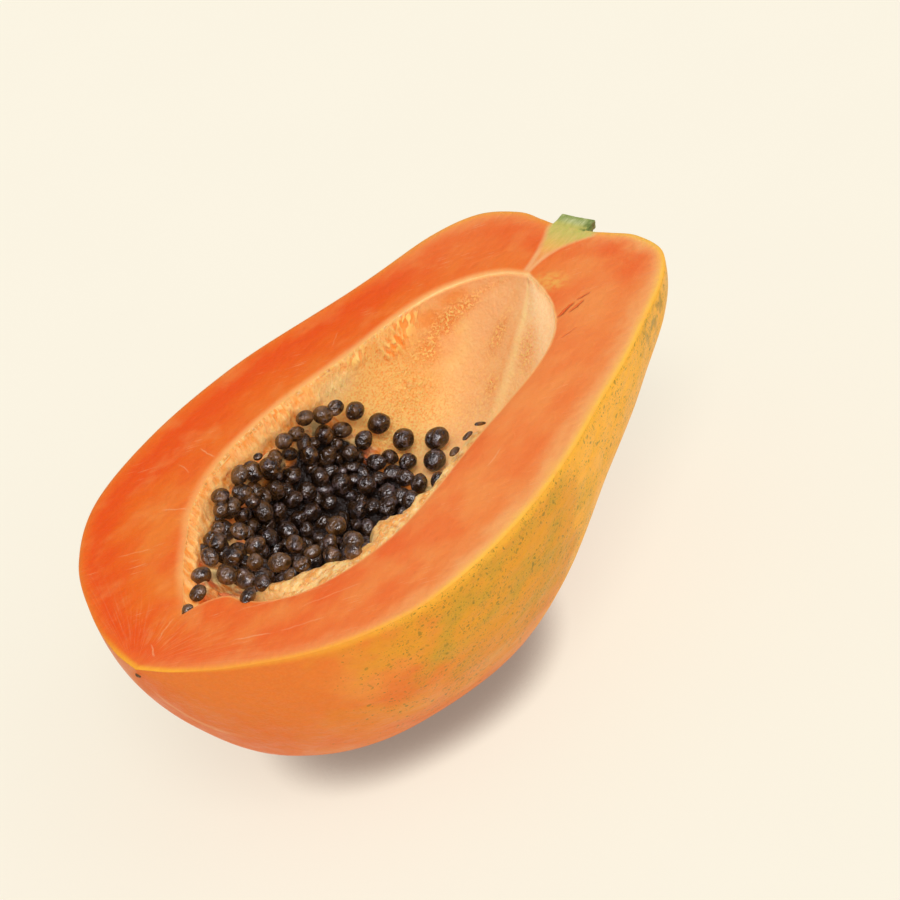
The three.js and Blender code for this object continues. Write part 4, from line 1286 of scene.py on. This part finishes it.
def skin_material(paint):
    """The thin waxy skin: orange at the blossom end and the keel, golden towards the neck, with
    olive clouds, green at the shoulders, and small round dark flecks."""
    coat = Coat("Papaya_Skin", paint.skin_orange)
    step, times, patches, lay = coat.step, coat.times, coat.patches, coat.lay
    x, y, _ = coat.axes()
    turn, = coat.attributes("turn")
    low = coat.away(turn, 0.5)
    # Broad colours from the tip to the neck, and the redder keel.
    wavy = coat.math("ADD", x, step(patches((30, 16, 16), 0.3, 0.7, 3.0), 0, 1, -14, 14))
    lay(paint.skin_peach, patches((20, 12, 14), 0.4, 0.66, 3.0), step(x, 14, 30), 0.75)
    lay(paint.skin_ochre, step(wavy, 20, 54), step(low, 0.22, 0.42))
    lay(paint.skin_gold, step(wavy, 84, 112), step(low, 0.1, 0.34, 0.35, 1.0))
    lay(paint.skin_blush_and_shade, patches((40, 14, 22), 0.42, 0.62), step(low, 0.44, 0.16), 0.65)
    lay(paint.skin_blush_and_shade, step(low, 0.26, 0.1), step(x, 176, 120), 0.7)
    # Olive clouds, green shoulders and the mossy neck.
    olive = times(patches((11, 5.5, 7), 0.4, 0.66, 5.0), step(low, 0.28, 0.42), step(x, 30, 46),
                  step(x, 112, 86, 0.25, 1.0))
    lay(paint.skin_olive, olive, 0.55)
    lay(paint.skin_green, step(x, 134, 172), patches((14, 8, 8), 0.4, 0.6, 4.0),
        step(y, -34, 16, 0.12, 0.85))
    lay(paint.skin_moss, step(x, 136, 150), step(x, 170, 158), step(low, 0.4, 0.46),
        patches((3.2, 2.4, 2.4), 0.46, 0.62, 3.0), 0.6)
    # A rib that runs out at the tip: painted shade, redder, under it, and a painted highlight,
    # pale, along it.
    rib = coat.math("SUBTRACT", coat.math("ADD", turn, times(x, 0.0125)), 0.512)
    tip_end = times(step(x, 1.0, 3.0), step(x, 14, 7))
    lay(paint.skin_blush_and_shade, step(rib, -0.004, 0.01), step(rib, 0.14, 0.02), tip_end, 0.6)
    lay(paint.flesh_pale, step(coat.away(rib, -0.012), 0.024, 0.004), tip_end, 0.45)
    # The edge at the cut, the side by the stem, and fine mottling.
    lay(paint.skin_line, step(low, 0.482, 0.498), step(x, 10, 60, 0.4, 0.85))
    lay(paint.root_green, step(x, 169, 173), step(coat.away(y, STEM_Y), 14, 6), 0.85)
    lay(paint.skin_brown, patches((2.2, 1.3, 1.3), 0.3, 0.7, 3.0), 0.16)
    lay(paint.skin_peach, patches((0.9, 0.6, 0.6), 0.4, 0.66), 0.14)
    # Flecks: more of them in a belt below the rim and in the olive clouds.
    grouped = coat.math("ADD", times(patches((11, 6, 6), 0.34, 0.66, 3.0), 0.7),
                        times(olive, 0.6))
    share = times(step(x, 16, 46), step(low, 0.12, 0.36), step(x, 174, 156),
                  step(grouped, 0.0, 0.8, 0.3, 1.3))
    bent = coat.bent(0.5, 1.0, 2.0)
    for size, strength in FLECKS:
        lay(paint.skin_fleck, coat.pattern("Flecks", size, bent, Share=share), strength)

    coat.emboss(0.16, patches((5.0, 2.2, 2.2), 0.2, 0.8, 4.0))
    coat.emboss(0.025, patches(0.4, 0.2, 0.8, 1.0))
    return coat.finish(step(patches((9, 5, 5), 0.3, 0.7, 3.0), 0, 1, 0.38, 0.52),
                       Specular_IOR_Level=0.14, Subsurface_Weight=0.06,
                       Subsurface_Radius=(1.0, 0.4, 0.1), Subsurface_Scale=0.002)


def seed_material(paint):
    """Wet seeds: nearly black brown under a clear film, crinkled, each with its own tint, with
    painted shade in the pits of their wrinkles and a painted greyish highlight on the crests.
    They darken towards the bottom of the heap with painted shade."""
    coat = Coat("Papaya_Seeds", paint.seed_dark)
    step, patches, lay = coat.step, coat.patches, coat.lay
    _, _, z = coat.axes()
    tint, = coat.attributes("tint")
    film = patches(2.0, 0.35, 0.7, 3.0)
    lay(paint.seed_olive, film, 0.85)
    lay(paint.seed_brown, step(tint, 0.45, 1.0, 0.0, 0.8), patches(3.0, 0.3, 0.6))
    # Painted shade: the seeds darken towards the bottom of the heap.
    lay(paint.seed_dark, step(z, -7, -19, 0.0, 0.7))
    folds = coat.pattern("Wrinkles", (2.1, 1.6, 1.8), Fine=0.1)
    small = coat.pattern("Wrinkles", (0.9, 0.75, 0.8), Fine=0.15)
    # Painted shade in the pits of the wrinkles, and a painted greyish highlight on their crests.
    lay(paint.seed_dark, step(folds, 0.5, 0.2, 0.0, 0.6))
    lay(paint.seed_crest_highlight, step(folds, 0.42, 0.78), step(small, 0.4, 0.7), 0.3)
    coat.emboss(0.75, folds)
    coat.emboss(0.22, small)
    return coat.finish(step(film, 0, 1, 0.13, 0.26), Specular_IOR_Level=0.8)


def pulp_material(paint):
    """The pulp between the seeds: wet, and dark with painted shade in the hollow, pale shreds at
    its edges and a few red stains. It has a faint painted glow."""
    coat = Coat("Papaya_Pulp", paint.lining_orange)
    step, patches, lay = coat.step, coat.patches, coat.lay
    dark, = coat.attributes("dark")
    shreds = patches(3.2, detail=3.0)
    lay(paint.lining_light, shreds)
    lay(paint.stain, patches(6.0, 0.5, 0.66), 0.8)
    share = coat.math("ADD", dark, step(shreds, 0, 1, -0.15, 0.15))
    # Painted shade: the pulp turns nearly black in the hollow's middle.
    lay(paint.seed_dark, step(share, 0.12, 0.5))
    coat.emboss(0.9, coat.pattern("Wrinkles", 1.4, Fine=0.6))
    # Painted glow: the pulp glows faintly in its own colour.
    return coat.finish(step(share, 0.12, 0.5, 0.5, 0.16), Specular_IOR_Level=0.45,
                       Emission_Color=coat.colour, Emission_Strength=PULP_PAINTED_GLOW)


def bark_material(paint):
    """Ribbed green bark that browns towards its end."""
    coat = Coat("Stem_Bark", paint.stem_green)
    x, _, _ = coat.axes()
    ridges = coat.patches((5.0, 0.9, 0.9), detail=3.0)
    coat.lay(paint.stem_dark, ridges)
    coat.lay(paint.stem_brown, coat.step(x, 175, 178), coat.patches(1.5))
    coat.emboss(0.2, ridges)
    return coat.finish(coat.step(ridges, 0, 1, 0.5, 0.72), Specular_IOR_Level=0.25)


def wood_material(paint):
    """The pale fibrous wood of the cut, green by the bark and the root, darker towards its near
    edge.
    """
    coat = Coat("Stem_Wood", paint.stem_light)
    step, patches, lay = coat.step, coat.patches, coat.lay
    x, y, _ = coat.axes()
    fibres = patches((4.0, 0.5, 0.5), 0.3, 0.7, 3.0)
    lay(paint.stem_pale, fibres)
    lay(paint.stem_green, coat.most(step(coat.away(y, STEM_Y), 2.6, 4.4), step(x, 176.4, 177.8)),
        patches(1.8, 0.2, 0.6), 0.8)
    lay(paint.root_green, step(x, 176.6, 173.8, 0.0, 0.95))
    lay(paint.stem_dark, step(y, STEM_Y - 2.6, STEM_Y - 4.4), patches(1.2, 0.3, 0.6), 0.8)
    coat.emboss(0.12, fibres)
    return coat.finish(step(fibres, 0, 1, 0.55, 0.75), Specular_IOR_Level=0.2)


def scar_material(paint):
    """Dry, nearly black tissue."""
    coat = Coat("Blossom_Scar", paint.seed_dark)
    folds = coat.pattern("Wrinkles", 0.6, Fine=0.5)
    coat.lay(paint.stem_brown, coat.step(folds, 0.4, 1.0))
    coat.emboss(0.2, folds)
    return coat.finish(coat.step(folds, 0.3, 1.0, 0.6, 0.85))


# ---- Stage ----

CAMERA = {
    "target": (-0.0151, -0.0407, 0.0820), "distance": 0.6607, "heading": 41.49,
    "elevation": 35.99, "roll": 18.65, "lens": 117.2, "sensor": 36,
}
FLOOR_REACH = 4.0
FLOOR_GLOW = 0.7
FLOOR_SHADE = 0.98
# Painted contact shadow of the floor: the reach of its ambient occlusion in millimetres, and its
# tone.
CONTACT_SHADOW = {"distance": 13, "tone": "A8988A"}
# Lamps: angle across, azimuth and elevation in degrees, and colour.
LAMPS = {"Key": (24, -38, 58, (1.0, 0.985, 0.96)), "Fill": (60, 15, 36, (0.97, 0.98, 1.0))}
SKY_TINT = (0.97, 0.98, 1.0)
# Soft boxes that gloss mirrors: azimuth, elevation, reach in degrees, and power.
SOFT_BOXES = ((-38, 58, 30, 3.2), (-100, 40, 22, 1.6), (120, 50, 24, 1.2))
ROOM_GLOSS = 0.12
BOX_TINT = (0.96, 0.9, 0.97)


def towards(azimuth, elevation):
    """Unit direction to this azimuth and elevation in degrees. Azimuth 0 is at -y."""
    a, e = math.radians(azimuth), math.radians(elevation)
    return Vector((math.sin(a) * math.cos(e), -math.cos(a) * math.cos(e), math.sin(e)))


def add_object(name, data):
    thing = bpy.data.objects.new(name, data)
    bpy.context.scene.collection.objects.link(thing)
    return thing


def floor_material(colour):
    """Plain matt backdrop paper that glows, which keeps its shadows pale. A painted contact
    shadow darkens it close under the fruit, where ambient occlusion finds it covered."""
    coat = Coat("Studio_Floor")
    tone = coat.patches(60.0, 0.2, 0.8)
    open_sky = coat.add("ShaderNodeAmbientOcclusion", {"Distance": CONTACT_SHADOW["distance"] * MM},
                        samples=12).outputs["AO"]
    clear = coat.step(open_sky, 0.3, 1.0)
    shadow_tone = linear(CONTACT_SHADOW["tone"])
    lit, shaded, close = (tuple(part * (1 - FLOOR_GLOW) * share for part in paper)
                          for paper, share in ((colour, 1), (colour, FLOOR_SHADE), (shadow_tone, 1)))
    coat.colour = coat.blend(clear, close, coat.blend(tone, lit, shaded))
    return coat.finish(coat.step(tone, 0, 1, 0.9, 0.95), Specular_IOR_Level=0.0,
                       Emission_Color=coat.blend(clear, shadow_tone, colour),
                       Emission_Strength=FLOOR_GLOW)


def add_floor(colour):
    mesh = bpy.data.meshes.new("Floor")
    corners = [(x * FLOOR_REACH, y * FLOOR_REACH, 0)
               for x, y in ((-1, -1), (1, -1), (1, 1), (-1, 1))]
    mesh.from_pydata(corners, [], [(0, 1, 2, 3)])
    mesh.materials.append(floor_material(colour))
    add_object("Floor", mesh)


def add_lamp(name, strength):
    """A distant soft lamp."""
    angle, azimuth, elevation, colour = LAMPS[name]
    data = bpy.data.lights.new(name, "SUN")
    data.energy, data.angle, data.color = strength, math.radians(angle), colour
    lamp = add_object(name, data)
    lamp.rotation_euler = towards(azimuth, elevation).to_track_quat("Z", "Y").to_euler()


def add_camera():
    """A camera that looks at the target from its distance, level and then rolled."""
    data = bpy.data.cameras.new("Camera")
    data.lens, data.sensor_width = CAMERA["lens"], CAMERA["sensor"]
    camera = add_object("Camera", data)
    back = towards(-CAMERA["heading"], CAMERA["elevation"])
    camera.location = Vector(CAMERA["target"]) + back * CAMERA["distance"]
    heading, roll = math.radians(CAMERA["heading"]), math.radians(CAMERA["roll"])
    level = Vector((math.cos(heading), -math.sin(heading), 0))
    right = level * math.cos(roll) - back.cross(level) * math.sin(roll)
    turn = Matrix((right, back.cross(right), back)).transposed()
    camera.rotation_mode = "QUATERNION"
    camera.rotation_quaternion = turn.to_quaternion()
    bpy.context.scene.camera = camera


def set_world(strength, seen):
    """Even light from all round. The camera sees the backdrop's own pale colour instead, and
    gloss mirrors a dim room with soft boxes."""
    world = bpy.data.worlds.new("Studio")
    bpy.context.scene.world = world
    world.use_nodes = True
    nodes = Nodes(world.node_tree)
    way = nodes.add("ShaderNodeTexCoord").outputs["Generated"]
    boxes = ROOM_GLOSS
    for azimuth, elevation, reach, power in SOFT_BOXES:
        dot = nodes.vector("DOT_PRODUCT", way, towards(azimuth, elevation))
        edge, core = math.cos(math.radians(reach)), math.cos(math.radians(reach * 0.6))
        boxes = nodes.math("ADD", boxes, nodes.times(nodes.step(dot, edge, core), power))
    even, mirrored, backdrop = (
        nodes.add("ShaderNodeBackground", {"Color": colour, "Strength": power}).outputs[0]
        for colour, power in ((SKY_TINT, strength), (BOX_TINT, boxes), (seen, 1.0)))
    ray = nodes.add("ShaderNodeLightPath").outputs
    for kind, light in (("Is Glossy Ray", mirrored), ("Is Camera Ray", backdrop)):
        even = nodes.add("ShaderNodeMixShader", {0: ray[kind], 1: even, 2: light}).outputs[0]
    nodes.add("ShaderNodeOutputWorld", {"Surface": even})


# ---- Settings ----

def size(name, description, millimetres):
    return FloatProperty(name=name, description=description, default=millimetres * MM,
                         min=0, unit="LENGTH", precision=5)


def colour(name, description, digits):
    return FloatVectorProperty(name=name, description=description, default=linear(digits),
                               subtype="COLOR", size=3, min=0, max=1)


def factor(name, description, default, most):
    return FloatProperty(name=name, description=description, default=default, min=0, max=most,
                         subtype="FACTOR")


def brightness(name, description, default):
    return FloatProperty(name=name, description=description, default=default, min=0)


class PAPAYA_PG_shape(bpy.types.PropertyGroup):
    """Sizes of the fine relief that the solids don't have."""

    dent_depth: size("Skin dents", "Depth of the soft dents in the skin", 0.35)
    face_wave: size("Cut face waves", "Depth of the soft waves in the cut face", 0.22)
    fringe_height: size("Fringe", "Height of the ruffled tongues on the far wall", 0.75)
    grain_height: size("Grains", "Height of the grains in the granular places", 0.3)
    stem_groove: factor("Stem grooves", "Depth of the grooves, as a share of the radius", 0.045,
                        STEM_GROOVE["depth"])
    seed_fold: factor("Seed folds", "Unevenness of a seed, as a share of its radius", 0.15, 0.3)
    filling_tries: IntProperty(name="Filling seeds", default=4000, min=0,
                               description="Tries at placing smaller seeds in the gaps")


class PAPAYA_PG_paint(bpy.types.PropertyGroup):
    """Colours of the pieces."""

    flesh_deep: colour("Deep flesh", "Patches of deeper flesh", "EA4C10")
    flesh_light: colour("Light flesh", "Lighter patches and fibres", "F39A50")
    flesh_pale: colour("Pale flesh", "Scratches and dots", "F7BB86")
    line_cream: colour("Cream line", "Vessels round the cavity and the stem's root", "F9C788")
    root_yellow: colour("Root yellow", "Inner end of the stem's root", "F0B052")
    root_green: colour("Root green", "Outer end of the stem's root", "C6BC5E")
    lining_edge: colour("Lining edge", "Flesh beside the cavity", "FDBE72")
    lining_cream: colour("Cream lining", "Pale lining at the stem end, and bits", "FFD8A2")
    lining: colour("Lining", "The cavity's lining", "F2C47A")
    lining_warm: colour("Warm lining", "Warmer patches of the lining", "F2B468")
    lining_pink: colour("Pink lining", "Lining at the stem end", "F0B276")
    lining_puff: colour("Puffed lining", "Lining beside the seeds", "F0943F")
    lining_tongue: colour("Tongues", "Bright tongues on the far wall", "FFCF78")
    lining_orange: colour("Orange lining", "Dents and grain of the lining", "F0872E")
    lining_deep: colour("Deep lining", "Specks between the grains", "E5752A")
    lining_light: colour("Light lining", "Ruffles and grain tops", "FFD791")
    stain: colour("Stain", "Red stains by the seeds", "DE5A28")
    skin_orange: colour("Orange skin", "Skin at the blossom end and keel", "E9782A")
    skin_ochre: colour("Ochre skin", "Skin below the rim", "E39A24")
    skin_gold: colour("Golden skin", "Skin towards the neck", "FCB432")
    # Also the painted shade under the rib at the tip.
    skin_blush_and_shade: colour("Blush", "Redder patches low on the skin", "E86A20")
    skin_peach: colour("Peach skin", "Paler patches of the skin", "F09A44")
    skin_olive: colour("Olive skin", "Olive clouds in the skin", "B89A2C")
    skin_green: colour("Green skin", "Green at the shoulders", "8E9A42")
    skin_moss: colour("Moss", "Dark mottling by the neck", "6E6C24")
    skin_line: colour("Skin edge", "The skin's edge at the cut", "F4B038")
    skin_brown: colour("Brown mottling", "Fine mottling of the skin", "C9762E")
    skin_fleck: colour("Flecks", "Small dark flecks in the skin", "726C26")
    seed_dark: colour("Dark seeds", "The seeds' darkest brown", "1E1008")
    seed_olive: colour("Olive film", "The olive coat of the seeds", "7A4E1E")
    seed_brown: colour("Brown seeds", "Browner seeds", "6E4B27")
    # A painted highlight on the crests of the seeds' wrinkles.
    seed_crest_highlight: colour("Seed highlight", "Painted greyish highlight on the seeds' wrinkles", "9C8A92")
    stem_green: colour("Green bark", "The stem's bark", "8A9A4C")
    stem_dark: colour("Dark bark", "Grooves of the bark", "66783A")
    stem_brown: colour("Brown bark", "The stem's dry end", "7A5C34")
    stem_light: colour("Light wood", "The stem's cut wood", "A2AC68")
    stem_pale: colour("Pale wood", "Fibres of the cut wood", "C6C98E")


class PAPAYA_PG_stage(bpy.types.PropertyGroup):
    """Colours and strengths of the studio."""

    floor: colour("Floor", "The floor's colour", "FBF4E2")
    key_strength: brightness("Key light", "Strength of the main lamp", 1.2)
    fill_strength: brightness("Fill light", "Strength of the second lamp", 0.55)
    sky_strength: brightness("Even light", "Strength of the light from all round", 0.62)


# ---- Operators ----

class PAPAYA_OT_stage(bpy.types.Operator):
    """Add the floor, the soft studio light and the camera"""

    bl_idname = "papaya.stage"
    bl_label = "Stage"

    def execute(self, context):
        studio = context.scene.papaya_stage
        add_floor(studio.floor)
        add_lamp("Key", studio.key_strength)
        add_lamp("Fill", studio.fill_strength)
        set_world(studio.sky_strength, studio.floor)
        add_camera()
        context.scene.view_settings.view_transform = "Standard"
        return {"FINISHED"}


class PAPAYA_OT_fruit(bpy.types.Operator):
    """Add the half fruit: skin, cut flesh and the cavity's lining in one closed body"""

    bl_idname = "papaya.fruit"
    bl_label = "Half fruit"

    def execute(self, context):
        paint = context.scene.papaya_paint
        points, quads, slots, values = fruit_mesh(context.scene.papaya_shape)
        materials = [skin_material(paint), flesh_material(paint), lining_material(paint)]
        piece = make_piece("fruit_half", points, quads, materials, slots, values)
        finish_piece(piece, ["papaya_half"])
        return {"FINISHED"}


class PAPAYA_OT_seed_bed(bpy.types.Operator):
    """Add the bed of seeds and the pulp that holds them"""

    bl_idname = "papaya.seed_bed"
    bl_label = "Seed bed"

    def execute(self, context):
        paint, shape = context.scene.papaya_paint, context.scene.papaya_shape
        centres, radii, turns = placed_seeds()
        centres, radii, more = filling_seeds(centres, radii, shape.filling_tries, FILLING_START)
        matrices = turned(np.concatenate([turns, more]))
        draws = np.random.default_rng(VARIETY_START)
        halves = radii[:, None] * SEED_SHAPE * draws.uniform(*VARIETY["half"], (len(radii), 3))
        centres, halves, matrices = with_edge_seeds(centres, halves, matrices, draws)
        folds = shape.seed_fold * draws.uniform(*VARIETY["fold"], len(centres))
        tints = draws.uniform(0, 1, len(centres))
        seeds = add_seeds("seed_bed_seeds", centres, halves, matrices, folds, tints,
                          seed_material(paint), LUMPS_START["bed"])
        finish_piece(seeds, ["seed_bed"], 1)
        points, quads, slots, values = pulp_mesh()
        pulp = make_piece("seed_bed_pulp", points, quads, [pulp_material(paint)], slots, values)
        finish_piece(pulp, ["seed_bed"])
        return {"FINISHED"}


class PAPAYA_OT_loose_seeds(bpy.types.Operator):
    """Add the loose seeds on the wall and the squashed ones on the near edge"""

    bl_idname = "papaya.loose_seeds"
    bl_label = "Loose seeds"

    def execute(self, context):
        fold = context.scene.papaya_shape.seed_fold
        material = bpy.data.materials.get("Papaya_Seeds") or seed_material(
            context.scene.papaya_paint)
        for i, (along, turn, *half) in enumerate(LOOSE_SEEDS):
            name, flat = f"seed_loose_{i + 1}", half[-1]
            squashed = flat < SQUASHED["below"]
            halves, folds = np.array([half]), np.array([fold])
            if squashed:
                halves, folds = halves * SQUASHED["size"], folds * SQUASHED["fold"]
            piece = add_seeds(name + "_wet", loose_centre(along, turn, flat)[None], halves,
                              lying(along, turn)[None], folds, np.array([i / len(LOOSE_SEEDS)]),
                              material, LUMPS_START["loose"] + i)
            finish_piece(piece, [name], 2)
        return {"FINISHED"}


class PAPAYA_OT_scar(bpy.types.Operator):
    """Add the small dry scar of the blossom beside the tip"""

    bl_idname = "papaya.scar"
    bl_label = "Blossom scar"

    def execute(self, context):
        scar = add_seeds("blossom_scar", np.array([SCAR["at"]]), np.array([SCAR["half"]]),
                         np.eye(3)[None], np.array([SCAR["fold"]]), np.array([0.5]),
                         scar_material(context.scene.papaya_paint), LUMPS_START["scar"])
        finish_piece(scar, [], 1)
        return {"FINISHED"}


class PAPAYA_OT_stem(bpy.types.Operator):
    """Add the stem stub with its ribbed bark and fibrous cut"""

    bl_idname = "papaya.stem"
    bl_label = "Stem"

    def execute(self, context):
        paint = context.scene.papaya_paint
        points, quads, slots = stem_mesh(context.scene.papaya_shape.stem_groove)
        piece = make_piece("stem_wood", points, quads, [bark_material(paint), wood_material(paint)],
                           slots)
        finish_piece(piece, ["stem_stub"])
        return {"FINISHED"}


class PAPAYA_PT_panel(bpy.types.Panel):
    """The papaya's steps and settings"""

    bl_idname = "PAPAYA_PT_panel"
    bl_label = "Papaya half"
    bl_space_type = "VIEW_3D"
    bl_region_type = "UI"
    bl_category = "Papaya"

    def draw(self, context):
        for operator in OPERATORS:
            self.layout.operator(operator.bl_idname)
        for settings in (context.scene.papaya_shape, context.scene.papaya_paint,
                         context.scene.papaya_stage):
            box = self.layout.box()
            for name in settings.__annotations__:
                box.prop(settings, name)


SETTINGS = {
    "papaya_shape": PAPAYA_PG_shape, "papaya_paint": PAPAYA_PG_paint,
    "papaya_stage": PAPAYA_PG_stage,
}
OPERATORS = (PAPAYA_OT_stage, PAPAYA_OT_fruit, PAPAYA_OT_seed_bed, PAPAYA_OT_loose_seeds,
             PAPAYA_OT_scar, PAPAYA_OT_stem)


def register():
    for kind in (*SETTINGS.values(), *OPERATORS, PAPAYA_PT_panel):
        bpy.utils.register_class(kind)
    for name, kind in SETTINGS.items():
        setattr(bpy.types.Scene, name, PointerProperty(type=kind))


def unregister():
    for name in SETTINGS:
        delattr(bpy.types.Scene, name)
    for kind in (PAPAYA_PT_panel, *reversed(OPERATORS), *reversed(SETTINGS.values())):
        bpy.utils.unregister_class(kind)


def main():
    register()
    bpy.ops.papaya.stage()
    bpy.ops.papaya.fruit()
    bpy.ops.papaya.seed_bed()
    bpy.ops.papaya.loose_seeds()
    bpy.ops.papaya.scar()
    bpy.ops.papaya.stem()


if __name__ == "__main__":
    main()
